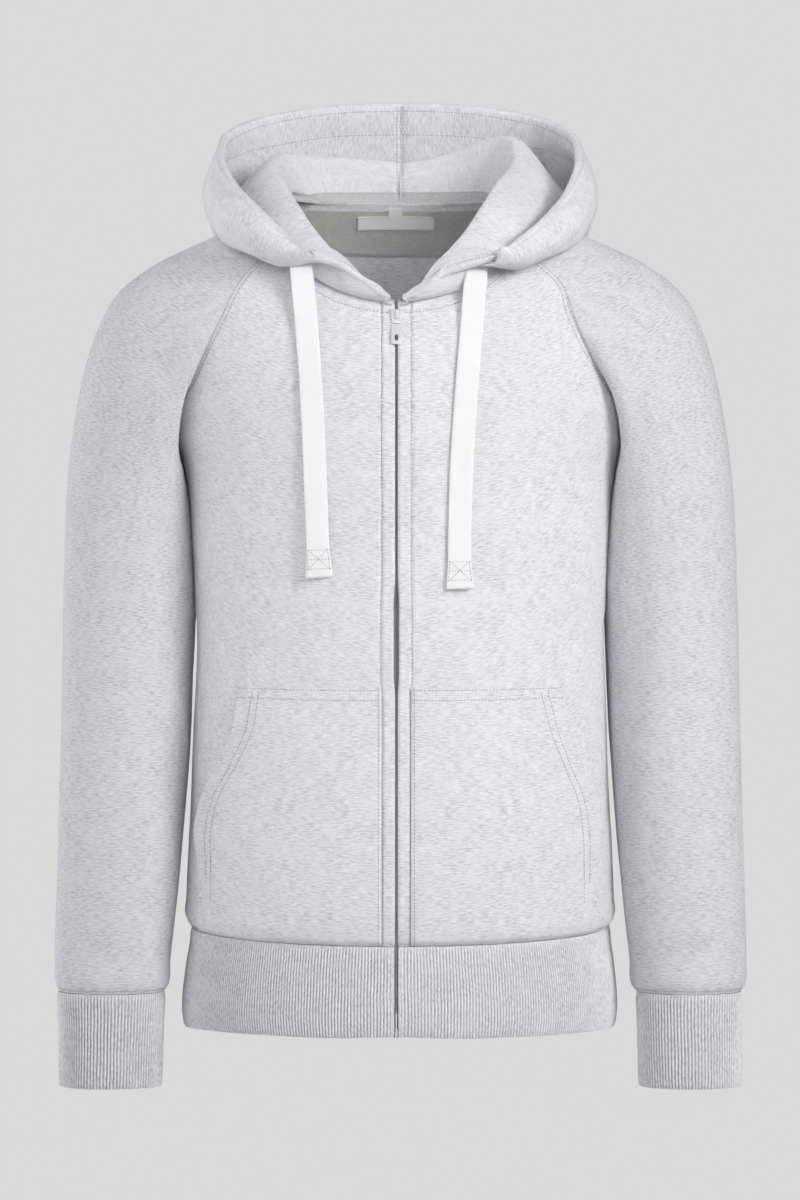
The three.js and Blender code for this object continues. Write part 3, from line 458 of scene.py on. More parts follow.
def wallFaces(rows, columns, closed, turned):  # an outer and an inner grid, and the rims between them
    half = rows * columns
    faces = [gridFaces(rows, columns, closed, 0, turned), gridFaces(rows, columns, closed, half, not turned)]

    def rim(edge, flip):
        a, b = edge[:-1], edge[1:]
        strip = np.stack([a, b, b + half, a + half], axis=-1)
        faces.append(strip[:, ::-1] if flip != turned else strip)

    low = np.arange(columns)
    high = low + (rows - 1) * columns
    if closed:
        low, high = np.append(low, low[0]), np.append(high, high[0])
    rim(low, True)
    rim(high, False)
    if not closed:
        rim(np.arange(rows) * columns, False)
        rim(np.arange(rows) * columns + columns - 1, True)
    return np.concatenate(faces)


def gridNormals(grid, closed, turned):
    if closed:
        east = np.roll(grid, -1, axis=1) - np.roll(grid, 1, axis=1)
    else:
        east = np.gradient(grid, axis=1)
    normals = unit(np.cross(east, np.gradient(grid, axis=0)))
    return -normals if turned else normals


def arcLengths(grid):  # distance along the rows and up the columns, for the cloth's own map
    right = np.linalg.norm(np.diff(grid, axis=1), axis=-1)
    up = np.linalg.norm(np.diff(grid, axis=0), axis=-1)
    u = np.concatenate([np.zeros((len(grid), 1)), np.cumsum(right, axis=1)], axis=1)
    v = np.concatenate([np.zeros((1, grid.shape[1])), np.cumsum(up, axis=0)], axis=0)
    return u - u[:, grid.shape[1] // 2][:, None], v - mixed(v[-1], v[-1].mean(), 0.5)[None, :]


def surfaceArea(grid, closed=False):
    if closed:
        grid = np.concatenate([grid, grid[:, :1]], axis=1)
    a = np.diff(grid, axis=1)[:-1]
    b = np.diff(grid, axis=0)[:, :-1]
    return np.linalg.norm(np.cross(a, b), axis=-1).sum()


# A cloth piece while it is worked on: its grid of points, its normals, and how it turns
def newCloth(grid, closed=False, turned=False):
    return {"grid": grid, "normals": gridNormals(grid, closed, turned), "closed": closed, "turned": turned}


seamSums = {}


def seamKey(p):
    return tuple(np.round(p * 50).astype(int))


def edgeIndices(cloth):
    rows, columns = cloth["grid"].shape[:2]
    edge = [(0, i) for i in range(columns)] + [(rows - 1, i) for i in range(columns)]
    if not cloth["closed"]:
        edge += [(j, 0) for j in range(rows)] + [(j, columns - 1) for j in range(rows)]
    return edge


def noteSeams(cloth):
    for j, i in edgeIndices(cloth):
        key = seamKey(cloth["grid"][j, i])
        seamSums[key] = seamSums.get(key, np.zeros(3)) + cloth["normals"][j, i]


def shareSeams(cloth):
    for j, i in edgeIndices(cloth):
        found = seamSums.get(seamKey(cloth["grid"][j, i]))
        if found is not None and np.linalg.norm(found) > 1e-6:
            cloth["normals"][j, i] = found / np.linalg.norm(found)


def edgeDistance(cloth, edge):  # millimetres from an edge, on every point
    grid = cloth["grid"]
    if edge in ("first", "last"):
        part = np.linalg.norm(np.diff(grid, axis=1), axis=-1)
        run = np.concatenate([np.zeros((len(grid), 1)), np.cumsum(part, axis=1)], axis=1)
        return run if edge == "first" else run[:, -1:] - run
    part = np.linalg.norm(np.diff(grid, axis=0), axis=-1)
    run = np.concatenate([np.zeros((1, grid.shape[1])), np.cumsum(part, axis=0)], axis=0)
    return run if edge == "bottom" else run[-1:] - run


def insetLine(cloth, edge, inset, lift=0.0, span=(0.0, 1.0)):  # points that many millimetres in from an edge
    grid = cloth["face"] + cloth["normals"] * lift
    away = edgeDistance(cloth, edge)
    if edge in ("bottom", "top"):
        grid, away = grid.transpose(1, 0, 2), away.T
    if edge in ("last", "top"):
        grid, away = grid[:, ::-1], away[:, ::-1]
    first, last = (int(round(s * (len(grid) - 1))) for s in span)
    line = []
    for row, run in zip(grid[first:last + 1], away[first:last + 1]):
        line.append([np.interp(inset, run, row[:, k]) for k in range(3)])
    return np.array(line)


def creases(points, facing, table):  # the main folds, each a soft trough or ridge along its own line
    total = np.zeros(points.shape[:2])
    wander = valueNoise(points, 38, 7) * 3.5
    for x1, z1, x2, z2, bow, width, depth in table:
        line = np.array([x2 - x1, z2 - z1])
        length = np.hypot(*line)
        line = line / length
        dx, dz = points[..., 0] - x1, points[..., 2] - z1
        a = (dx * line[0] + dz * line[1]) / length
        side = dz * line[0] - dx * line[1] - bow * 4 * a * (1 - a) + wander
        taper = smoothStep(-0.12, 0.3, a) * smoothStep(1.12, 0.7, a)
        total += depth * taper * np.exp(-(side / width) ** 2)
    return total * facing


def looseness(points, amount, seed=3):  # broad and small unevenness of soft cloth
    broad = valueNoise(points * (1, 1, 0.6), 95, seed) * 1.3
    small = valueNoise(points, 34, seed + 1) * 0.45
    return (broad + small) * amount


def finishCloth(name, cloth, height, thickness, material, nodeName, flat, area,
                level=False):
    grid, normals = cloth["grid"], cloth["normals"]
    face = grid + normals * height[..., None]
    cloth["face"] = face
    back = face - normals * thickness
    rows, columns = grid.shape[:2]
    u, v = arcLengths(grid)
    if level:  # the knitted rows turn level below the shoulder
        x, z = np.abs(grid[..., 0]), grid[..., 2]
        v = 0.45 * (x - 200) * smoothStep(-230, -90, z) - z
    uv = np.stack([u, v], axis=-1).reshape(-1, 2)
    points = np.concatenate([face.reshape(-1, 3), back.reshape(-1, 3)])
    made = putMesh(name, points, wallFaces(rows, columns, cloth["closed"], cloth["turned"]), material,
                   frontAndBack(uv))
    declare(made, nodeName)
    print(name, "cloth area", round(surfaceArea(face, cloth["closed"]) / 1e6, 4), "flat", flat, area)


beadSegments, beadRings = 6, 4
beadFaces = beadSegments * beadRings


def stitchTree():  # a bead of thread at every step along a line
    tree = bpy.data.node_groups.new("stitchRow", "GeometryNodeTree")
    groupSockets(
        tree,
        [
            ("Geometry", "NodeSocketGeometry", None),
            ("Pitch", "NodeSocketFloat", 0.003),
            ("Half Length", "NodeSocketFloat", 0.0011),
            ("Thread", "NodeSocketFloat", 0.0003),
            ("Slant", "NodeSocketFloat", 0.0),
            ("Material", "NodeSocketMaterial", None),
            ("Seed", "NodeSocketInt", 5),
        ],
        [("Geometry", "NodeSocketGeometry")],
    )
    enter, leave = node(tree, "NodeGroupInput"), node(tree, "NodeGroupOutput")
    link = tree.links.new
    line = node(tree, "GeometryNodeMeshToCurve")
    spaced = node(tree, "GeometryNodeResampleCurve", mode="LENGTH")
    bead = node(tree, "GeometryNodeMeshUVSphere")
    bead.inputs["Segments"].default_value = beadSegments
    bead.inputs["Rings"].default_value = beadRings
    bead.inputs["Radius"].default_value = 1
    smooth = node(tree, "GeometryNodeSetShadeSmooth")
    size = node(tree, "ShaderNodeCombineXYZ")
    tangent = node(tree, "GeometryNodeInputTangent")
    facing = node(tree, "FunctionNodeAlignRotationToVector", axis="Z")
    tilt = node(tree, "FunctionNodeRotateRotation", rotation_space="LOCAL")
    euler = node(tree, "FunctionNodeEulerToRotation")
    slanted = node(tree, "ShaderNodeCombineXYZ")
    uneven = node(tree, "FunctionNodeRandomValue", data_type="FLOAT")
    uneven.inputs[2].default_value = 0.85
    uneven.inputs[3].default_value = 1.1
    scaled = node(tree, "ShaderNodeVectorMath", operation="SCALE")
    put = node(tree, "GeometryNodeInstanceOnPoints")
    real = node(tree, "GeometryNodeRealizeInstances")
    paint = node(tree, "GeometryNodeSetMaterial")
    link(enter.outputs["Geometry"], line.inputs["Mesh"])
    link(line.outputs["Curve"], spaced.inputs["Curve"])
    link(enter.outputs["Pitch"], spaced.inputs["Length"])
    link(enter.outputs["Thread"], size.inputs["X"])
    link(enter.outputs["Thread"], size.inputs["Y"])
    link(enter.outputs["Half Length"], size.inputs["Z"])
    link(tangent.outputs[0], facing.inputs["Vector"])
    link(enter.outputs["Slant"], slanted.inputs["X"])
    link(slanted.outputs[0], euler.inputs[0])
    link(facing.outputs[0], tilt.inputs["Rotation"])
    link(euler.outputs[0], tilt.inputs["Rotate By"])
    link(enter.outputs["Seed"], uneven.inputs["Seed"])
    link(size.outputs[0], scaled.inputs[0])
    link(uneven.outputs[1], scaled.inputs["Scale"])
    link(bead.outputs["Mesh"], smooth.inputs["Geometry"])
    link(spaced.outputs["Curve"], put.inputs["Points"])
    link(smooth.outputs[0], put.inputs["Instance"])
    link(tilt.outputs[0], put.inputs["Rotation"])
    link(scaled.outputs[0], put.inputs["Scale"])
    link(put.outputs[0], real.inputs[0])
    link(real.outputs[0], paint.inputs["Geometry"])
    link(enter.outputs["Material"], paint.inputs["Material"])
    link(paint.outputs[0], leave.inputs[0])
    return tree


def ribTree():  # knitted ribs: the grid's outer points rise and fall round its turn
    tree = bpy.data.node_groups.new("knitRibs", "GeometryNodeTree")
    groupSockets(
        tree,
        [
            ("Geometry", "NodeSocketGeometry", None),
            ("Ribs", "NodeSocketFloat", 100.0),
            ("Relief", "NodeSocketFloat", 0.0008),
            ("Material", "NodeSocketMaterial", None),
            ("Seed", "NodeSocketFloat", 2.0),
        ],
        [("Geometry", "NodeSocketGeometry")],
    )
    enter, leave = node(tree, "NodeGroupInput"), node(tree, "NodeGroupOutput")
    link = tree.links.new
    turn = node(tree, "GeometryNodeInputNamedAttribute", data_type="FLOAT")
    turn.inputs["Name"].default_value = "turn"
    raised = node(tree, "GeometryNodeInputNamedAttribute", data_type="FLOAT")
    raised.inputs["Name"].default_value = "raised"
    wobble = node(tree, "ShaderNodeTexNoise", noise_dimensions="4D")
    wobble.inputs["Scale"].default_value = 55
    wobble.inputs["Detail"].default_value = 1
    place = node(tree, "GeometryNodeInputPosition")
    turns = node(tree, "ShaderNodeMath", operation="MULTIPLY")
    bent = node(tree, "ShaderNodeMath", operation="MULTIPLY_ADD")
    bent.inputs[1].default_value = 0.5
    angle = node(tree, "ShaderNodeMath", operation="MULTIPLY")
    angle.inputs[1].default_value = 2 * math.pi
    wave = node(tree, "ShaderNodeMath", operation="COSINE")
    lifted = node(tree, "ShaderNodeMath", operation="MULTIPLY")
    masked = node(tree, "ShaderNodeMath", operation="MULTIPLY")
    normal = node(tree, "GeometryNodeInputNormal")
    push = node(tree, "ShaderNodeVectorMath", operation="SCALE")
    move = node(tree, "GeometryNodeSetPosition")
    # the rib wave is kept as the rise attribute for the rib material, which paints shade in the troughs with
    # it
    keep = node(tree, "GeometryNodeStoreNamedAttribute", data_type="FLOAT", domain="POINT")
    keep.inputs["Name"].default_value = "rise"
    shown = node(tree, "ShaderNodeMath", operation="MULTIPLY")
    real = node(tree, "GeometryNodeRealizeInstances")
    paint = node(tree, "GeometryNodeSetMaterial")
    link(place.outputs[0], wobble.inputs["Vector"])
    link(enter.outputs["Seed"], wobble.inputs["W"])
    link(turn.outputs["Attribute"], turns.inputs[0])
    link(enter.outputs["Ribs"], turns.inputs[1])
    link(wobble.outputs["Fac"], bent.inputs[0])
    link(turns.outputs[0], bent.inputs[2])
    link(bent.outputs[0], angle.inputs[0])
    link(angle.outputs[0], wave.inputs[0])
    link(wave.outputs[0], lifted.inputs[0])
    link(enter.outputs["Relief"], lifted.inputs[1])
    link(lifted.outputs[0], masked.inputs[0])
    link(raised.outputs["Attribute"], masked.inputs[1])
    link(normal.outputs[0], push.inputs[0])
    link(masked.outputs[0], push.inputs["Scale"])
    link(enter.outputs["Geometry"], move.inputs["Geometry"])
    link(push.outputs[0], move.inputs["Offset"])
    link(wave.outputs[0], shown.inputs[0])
    link(raised.outputs["Attribute"], shown.inputs[1])
    link(move.outputs[0], keep.inputs["Geometry"])
    link(shown.outputs[0], keep.inputs["Value"])
    link(keep.outputs[0], real.inputs[0])
    link(real.outputs[0], paint.inputs["Geometry"])
    link(enter.outputs["Material"], paint.inputs["Material"])
    link(paint.outputs[0], leave.inputs[0])
    return tree


stitchRow = stitchTree()
knitRibs = ribTree()


def runNodes(made, tree, values):  # gives the tree its inputs and keeps what it makes as a plain mesh
    modifier = made.modifiers.new("nodes", "NODES")
    modifier.node_group = tree
    for item in tree.interface.items_tree:
        if item.item_type == "SOCKET" and item.in_out == "INPUT" and item.name in values:
            modifier[item.identifier] = values[item.name]
    graph = bpy.context.evaluated_depsgraph_get()
    graph.update()
    mesh = bpy.data.meshes.new_from_object(made.evaluated_get(graph), depsgraph=graph)
    made.modifiers.clear()
    made.data = mesh
    return made


def sew(name, lines, pitch=3.0, half=1.2, thread=0.4, slant=0.0, material="thread"):
    points, edges = [], []
    for line in lines:
        start = len(points)
        points.extend((np.asarray(line) * 0.001).tolist())
        edges.extend((start + k, start + k + 1) for k in range(len(line) - 1))
    mesh = bpy.data.meshes.new(name)
    mesh.from_pydata(points, edges, [])
    made = bpy.data.objects.new(name, mesh)
    scene.collection.objects.link(made)
    runNodes(made, stitchRow, {
        "Pitch": pitch * 0.001, "Half Length": half * 0.001, "Thread": thread * 0.001,
        "Slant": slant, "Material": finish[material], "Seed": 5,
    })
    declare(made, None)
    print(name, "stitches:", len(made.data.polygons) // beadFaces)
    return made


# Drawcords come first: flat, limp, hanging from under the band of the hood down the fronts
drawcords = {
    "width": 19,
    "thickness": 2.4,
    "stitchedEnd": 24,
    "rings": 150,
    "around": 28,
    "left": [
        (-84.5, -88, -50), (-83.5, -94.5, -57),
        (-82, -99.5, -66), (-81, -101.5, -73), (-80, -101.9, -84), (-78.5, -102.9, -100),
        (-76.5, -106.5, -125), (-74, -111.8, -155), (-72, -115.2, -190), (-70.5, -117.2, -225),
        (-69, -118.5, -260), (-68, -118.9, -290), (-66.5, -118.8, -322),
    ],
    "right": [
        (65, -91, -58), (64, -97.5, -65),
        (63, -101.9, -74), (62, -102.9, -81), (61, -102.9, -92), (59.5, -104.9, -110), (57.5, -110.1, -135),
        (55, -115, -165), (52.5, -118.8, -200), (50.5, -121.2, -235), (49.5, -121.9, -270), (49, -122, -300),
        (49.5, -121.8, -331),
    ],
}


def catmull(points, t):  # centripetal spline through the points, as the model's curves are
    last = len(points) - 1
    k = min(int(last * t), last - 1)
    w = last * t - k
    p1, p2 = points[k], points[k + 1]
    p0 = points[k - 1] if k > 0 else 2 * p1 - p2
    p3 = points[k + 2] if k + 2 <= last else 2 * p2 - p1
    pairs = ((p0, p1), (p1, p2), (p2, p3))
    d0, d1, d2 = (np.sqrt(np.linalg.norm(b - a, axis=-1, keepdims=True)) for a, b in pairs)
    d1 = np.where(d1 < 1e-4, 1, d1)
    d0 = np.where(d0 < 1e-4, d1, d0)
    d2 = np.where(d2 < 1e-4, d1, d2)
    t1 = ((p1 - p0) / d0 - (p2 - p0) / (d0 + d1) + (p2 - p1) / d1) * d1
    t2 = ((p2 - p1) / d1 - (p3 - p1) / (d1 + d2) + (p3 - p2) / d2) * d1
    return p1 + t1 * w + (3 * p2 - 3 * p1 - 2 * t1 - t2) * w ** 2 + (2 * p1 - 2 * p2 + t1 + t2) * w ** 3


def makeCord(side):
    route = np.array(drawcords[side], float)
    line = np.array([catmull(route, t) for t in steps(0, 1, drawcords["rings"])])
    run = np.concatenate([[0], np.cumsum(np.linalg.norm(np.diff(line, axis=0), axis=1))])
    length = run[-1]
    tangent = unit(np.gradient(line, axis=0))
    across = unit(np.stack([-tangent[:, 2], np.zeros(len(line)), tangent[:, 0]], axis=-1)) * -1
    out = unit(np.cross(across, tangent))
    out *= np.sign(-out[:, 1:2])
    fromEnd = length - run
    flare = 1 + 0.16 * smoothStep(drawcords["stitchedEnd"], 3, fromEnd)
    pinch = 1 - 0.22 * smoothStep(26, 0, run)  # squeezed where it leaves the band
    half = drawcords["width"] / 2 * flare * pinch
    thick = drawcords["thickness"] / 2 * (1 + 0.25 * smoothStep(20, 0, run) + 0.1 * flare)
    thick = thick - 0.35 * np.exp(-((fromEnd - drawcords["stitchedEnd"]) / 2.5) ** 2)
    rounds = steps(0, 2 * math.pi, drawcords["around"])[:-1]
    flat = np.sign(np.cos(rounds)) * np.abs(np.cos(rounds)) ** 0.55
    rise = np.sign(np.sin(rounds)) * np.abs(np.sin(rounds)) ** 0.8
    cup = -0.5 * np.cos(np.pi * flat) * 0.6  # the middle lies a little lower than the edges
    rings = (line[:, None] + across[:, None] * (half[:, None] * flat)[..., None]
             + out[:, None] * (thick[:, None] * rise + cup)[..., None])
    rows, columns = rings.shape[:2]
    points = np.concatenate([rings.reshape(-1, 3), line[:1], line[-1:]])
    faces = gridFaces(rows, columns, True, 0, False).tolist()
    head, foot = rows * columns, rows * columns + 1
    faces += [[head, (i + 1) % columns, i] for i in range(columns)]
    base = (rows - 1) * columns
    faces += [[foot, base + i, base + (i + 1) % columns] for i in range(columns)]
    mesh = bpy.data.meshes.new("drawcord" + side.capitalize())
    mesh.from_pydata((points * 0.001).tolist(), [], faces)
    uv = np.concatenate([
        stackedMap(flat[None] * drawcords["width"] / 2, run[:, None]), [[0, 0], [0, length]]])
    mapOnto(mesh, uv)
    mesh.materials.append(finish["cotton"])
    mesh.polygons.foreach_set("use_smooth", [True] * len(mesh.polygons))
    cord = bpy.data.objects.new(mesh.name, mesh)
    scene.collection.objects.link(cord)
    probe = bmesh.new()
    probe.from_mesh(mesh)
    if probe.calc_volume(signed=True) < 0:
        bmesh.ops.reverse_faces(probe, faces=probe.faces)
        probe.to_mesh(mesh)
    probe.free()
    declare(cord, "drawcord_" + side)
    near = np.searchsorted(-fromEnd, -drawcords["stitchedEnd"])
    face = line + out * (thick[:, None] + 0.35)
    sewn = []
    for share in (-0.86, 0.86):
        sewn.append((face + across * (half * share)[:, None])[near:-3])
    for row in (near, near + 3, len(line) - 4):
        sewn.append(np.array([face[row] + across[row] * half[row] * s for s in steps(-0.86, 0.86, 8)]))
    for share in (-0.8, 0.8):  # the cross sewn over the end
        start = face[near] + across[near] * half[near] * share
        end = face[-4] - across[-4] * half[-4] * share
        sewn.append(np.array([mixed(start, end, t) for t in steps(0, 1, 10)]))
    tack = sew("cordTack" + side.capitalize(), sewn, pitch=2.4, half=0.95, thread=0.28)
    print("drawcord", side, "length", round(length, 1))


makeCord("left")
makeCord("right")

# The body of the garment: half width, front and back reach at each height, then the raglan seams
torso = {
    "z": [-205, -220, -236, -285, -330, -374, -445, -505, -565, -600, -616, -626, -650, -685, -701],
    "half": [190, 184, 180, 175.5, 173, 172, 174.5, 177, 179.5, 180.5, 178, 178, 181.5, 184.5, 182.5],
    "front": [121, 122, 123, 124, 123.5, 122.5, 122, 124, 126, 125.5, 122, 120.5, 122, 123, 121.5],
    "back": [112, 111.5, 111, 108, 105, 104, 108, 112, 115, 116, 114, 114, 116, 118, 116.5],
}
raglanFront = {
    "u": [0, 0.08, 0.2, 0.33, 0.46, 0.6, 0.74, 0.87, 1],
    "left": [190, 190, 186, 172.5, 160, 146.5, 133, 115, 91],
    "right": [190, 189.5, 185, 170, 154, 142, 133, 112, 91],
    "y": [0, -16, -38, -61, -75, -80.5, -77.5, -69, -57],
    "z": [-205, -192, -177, -154, -128, -102, -75, -55, -33],
}
raglanBack = {
    "u": [0, 0.08, 0.2, 0.35, 0.5, 0.65, 0.82, 1],
    "left": [190, 190, 187, 176, 161, 141, 112, 74],
    "right": [190, 190, 187, 176, 161, 141, 112, 74],
    "y": [0, 18, 42, 70, 84, 84, 70, 42],
    "z": [-205, -196, -181, -150, -115, -80, -40, 4],
}
frontMiddle = {
    "u": [0, 0.3, 0.6, 0.85, 1],
    "y": [-121, -117.5, -111, -103.5, -100],
    "z": [-205, -176, -141, -107, -92],
    "sweep": [90, 68, 60, 72, 88],
}
backMiddle = {
    "u": [0, 0.3, 0.6, 0.85, 1],
    "y": [112, 111, 102, 80, 62],
    "z": [-205, -142, -80, -24, 3],
    "sweep": [90, 62, 55, 52, 60],
}
neckSaddle = {"u": [0, 0.33, 0.66, 1], "x": [91, 97, 92, 74], "y": [-57, -26, 12, 42], "z": [-33, -7, 5, 4]}
body = {
    "fleece": 2.2,
    "zipX": -3.0,
    "edgeGap": 1.5,
    "placket": 11,
    "neckStitch": 10.5,
    "hemStitch": 2.4,
    "frontFlat": (0.262, 0.56),
    "frontArea": 0.128,
    "backFlat": (0.53, 0.66),
    "backArea": 0.26,
    "hemSide": -616.0,
    "hemFront": -625.5,
    "hemBack": -622.0,
    "hemBottom": -701.0,
    "rowsBelow": 110,
    "rowsAbove": 72,
    "frontAcross": 76,
    "backAcross": 56,
    "sideSwell": 1.3,
    "sleeveSwell": 1.6,
}


def raglanPoint(table, side, u):
    return stacked(side * column(table, "u", "left" if side < 0 else "right", u),
                   column(table, "u", "y", u), column(table, "u", "z", u))


def panelArc(middle, seam, sweep, t):
    full = np.radians(sweep)[:, None]
    along = np.sin(full * t) / np.sin(full)
    rounded = (1 - np.cos(full * t)) / (1 - np.cos(full))
    share = np.stack([along, rounded, rounded], axis=-1)
    return middle[:, None] + (seam - middle)[:, None] * share


def panelGrid(side, face, middleX, t):
    low = steps(0, 1, body["rowsBelow"])[:-1]
    rise = low * (0.45 + 0.55 * low)
    hemMiddle = body["hemFront"] if face == "front" else body["hemBack"]
    reach = -1 if face == "front" else 1
    sideZ = mixed(body["hemSide"], torso["z"][0], rise)
    middleZ = mixed(hemMiddle, torso["z"][0], rise)
    middle = stacked(middleX, reach * column(torso, "z", face, middleZ), middleZ)
    seam = stacked(side * column(torso, "z", "half", sideZ), 0, sideZ)
    u = steps(0, 1, body["rowsAbove"])
    table = frontMiddle if face == "front" else backMiddle
    upper = stacked(middleX, column(table, "u", "y", u), column(table, "u", "z", u))
    middle = np.concatenate([middle, upper])
    seam = np.concatenate([seam, raglanPoint(raglanFront if face == "front" else raglanBack, side, u)])
    sweep = np.concatenate([np.full(len(low), 90.0), column(table, "u", "sweep", u)])
    return panelArc(middle, seam, sweep, t)


rowPlaces = np.concatenate([steps(0, 9, body["rowsBelow"])[:-1], steps(9, 18, body["rowsAbove"])])
acrossFront = crowded(body["frontAcross"])
acrossBack = crowded(body["backAcross"] * 2, 0.5)[body["backAcross"]:] * 2 - 1
leftFront = newCloth(panelGrid(-1, "front", body["zipX"] - body["edgeGap"], acrossFront), turned=True)
rightFront = newCloth(panelGrid(1, "front", body["zipX"] + body["edgeGap"], acrossFront))
backLeft = panelGrid(-1, "back", 0, acrossBack)
backRight = panelGrid(1, "back", 0, acrossBack)
backCloth = newCloth(np.concatenate([backLeft[:, :0:-1], backRight], axis=1), turned=True)

# Sleeve rings from the shoulder down
sleeveRings = {
    "r": [0, 1, 2, 3, 4, 5, 6, 7, 8, 9, 10, 12, 14, 16, 17, 18],
    "topX": [97, 124, 152, 181, 211, 239, 256, 268, 277.5, 284.5, 287, 288.5, 290, 291.5, 292.3, 290],
    "topZ": [2, -12, -28, -41, -56, -77.5, -106, -141, -187, -248, -320, -425, -515, -600, -640, -670.2],
    "underX": [190, 189.5, 187, 184.5, 182.3, 180.3, 178.5, 176.6, 175.2, 175.2, 176.8, 179.5, 184.5, 191,
               195, 198],
    "underZ": [-205, -212, -221, -232, -246, -262, -281, -303, -329, -362, -402, -468, -535, -605,
               -641, -670.2],
    "front": [80, 80, 79, 77, 75, 72, 69, 67, 65, 63, 61, 57, 53, 48, 45.5, 42.5],
    "back": [84, 84, 83, 81, 78, 74, 70, 67, 65, 63, 61, 57, 53, 48, 45.5, 42.5],
    "midY": [0, 0, 0, 1, 3, 6, 9, 12, 14, 14, 11, 1, -8, -15, -17, -19],
    "oval": [0, 0.3, 0.55, 0.75, 0.9, 1, 1, 1, 1, 1, 1, 1, 1, 1, 1, 1],
}
sleeve = {
    "saddleSteps": 16,
    "ringsClose": (0.03, 0.07, 0.12, 0.18, 0.26, 0.36, 0.48, 0.6),
    "ringsBlended": 54,
    "ringsBelow": 118,
    "flat": (0.46, 0.78),
    "area": 0.225,
}


def saddlePoint(side, u):
    return stacked(side * column(neckSaddle, "u", "x", u), column(neckSaddle, "u", "y", u),
                   column(neckSaddle, "u", "z", u))


def sleeveRing(side, r):
    value = {name: column(sleeveRings, "r", name, r) for name in sleeveRings if name != "r"}
    top = stacked(side * value["topX"], 0, value["topZ"])
    under = stacked(side * value["underX"], 0, value["underZ"])
    middle = (top + under) / 2
    middle[..., 1] = value["midY"]
    upward = top - under
    reach = np.linalg.norm(upward, axis=-1) / 2
    upward = unit(upward)
    outward = stacked(upward[..., 2], 0, -upward[..., 0])
    return middle, upward, outward, reach, value


def sleeveGrid(side):
    u = steps(0, 1, body["rowsAbove"])
    saddle = saddlePoint(side, steps(1, 0, sleeve["saddleSteps"])[:-1])
    loop = np.concatenate([saddle, raglanPoint(raglanFront, side, u[::-1])[:-1],
                           raglanPoint(raglanBack, side, u)[:-1]])
    middle, upward, outward, reach, first = sleeveRing(side, 0.0)
    away = loop - middle
    up, out, y = away @ upward, away @ outward, away[:, 1]
    depthFirst = np.where(y < 0, first["front"], first["back"])
    angle = np.arctan2(y / depthFirst, up / reach)
    r = np.concatenate([sleeve["ringsClose"], steps(0.6, 9, sleeve["ringsBlended"])[1:],
                        steps(9, 18, sleeve["ringsBelow"])[1:]])
    middles, upwards, outwards, reaches, value = sleeveRing(side, r)
    oval = value["oval"][:, None]
    depth = np.where(y[None] < 0, value["front"][:, None], value["back"][:, None])
    ups = mixed(up[None] * (reaches / reach)[:, None], reaches[:, None] * np.cos(angle)[None], oval)
    ys = mixed(y[None] * depth / depthFirst[None], depth * np.sin(angle)[None], oval)
    outs = out[None] * (1 - oval)
    grid = middles[:, None] + upwards[:, None] * ups[..., None] + outwards[:, None] * outs[..., None]
    grid[..., 1] += ys
    return np.concatenate([loop[None], grid])


leftSleeve = newCloth(sleeveGrid(-1), closed=True, turned=True)
rightSleeve = newCloth(sleeveGrid(1), closed=True)

# Hood stations from the zip to the middle of the back: neck seam, crest, bottom fold, rim
hoodStations = {
    "s": [0, 2, 3, 4, 5, 6, 7, 8, 9, 10, 11, 12, 13],
    "cx": [6, 24, 42, 60, 72, 84, 97, 110, 104, 80, 54, 28, 0],
    "cy": [-101, -103, -103, -96, -86, -68, -40, -6, 34, 54, 64, 69, 71],
    "cz": [-91, -75, -59, -43, -27, -8, 10, 26, 41, 44, 43, 40, 38],
    "bx": [6, 24, 44, 70, 95, 121, 142, 154, 149, 125, 84, 42, 0],
    "by": [-101, -104, -107, -107, -99, -86, -54, -2, 62, 110, 124, 133, 135],
    "bz": [-90, -75.5, -60, -55, -58, -47, -36, -17, -32, -88, -140, -164, -172],
    "rx": [6, 24, 46, 77, 96, 116, 136, 149, 147, 124, 88, 46, 0],
    "ry": [-101, -105, -111, -112, -107, -94, -64, -22, 26, 62, 79, 88, 91],
    "rz": [-89.5, -75, -61, -50, -38, -19, 4, 30, 54, 71, 81, 87, 88.5],
    "rimDrop": [0, 1, 4, 6.5, 9, 11, 9, 3, 1, 0, 0, 0, 0],
    "puff": [0, 0, 0, 0, 0, 0, 2, 6, 14, 13, 6, 2, 0],
    "lean": [0, 2, 7.5, 11.5, 11.5, 11.5, 13.5, 12, 6, 0, 0, 0, 0],
}
hood = {
    "rows": 70,
    "roll": 3.4,
    "rollAtZip": 2.5,
    "rollSteps": 8,
    "layerGap": 0.35,
    "outerPuff": 3.0,
    "tunnel": 24,
    "flat": (0.36, 0.30),
    "area": 0.105,
}


def hoodNeckline(side):  # the neck edges of the front, sleeve and back, one after the other
    front = panelArc(stacked(body["zipX"] + side * body["edgeGap"], [-100.0], [-92.0]),
                     raglanPoint(raglanFront, side, np.array([1.0])), np.array([88.0]), acrossFront[::2])[0]
    saddle = saddlePoint(side, steps(0, 1, sleeve["saddleSteps"]))[1:]
    back = panelArc(stacked(0, [62.0], [3.0]), raglanPoint(raglanBack, side, np.array([1.0])),
                    np.array([60.0]), acrossBack[::-1])[0][1:]
    return np.concatenate([front, saddle, back])


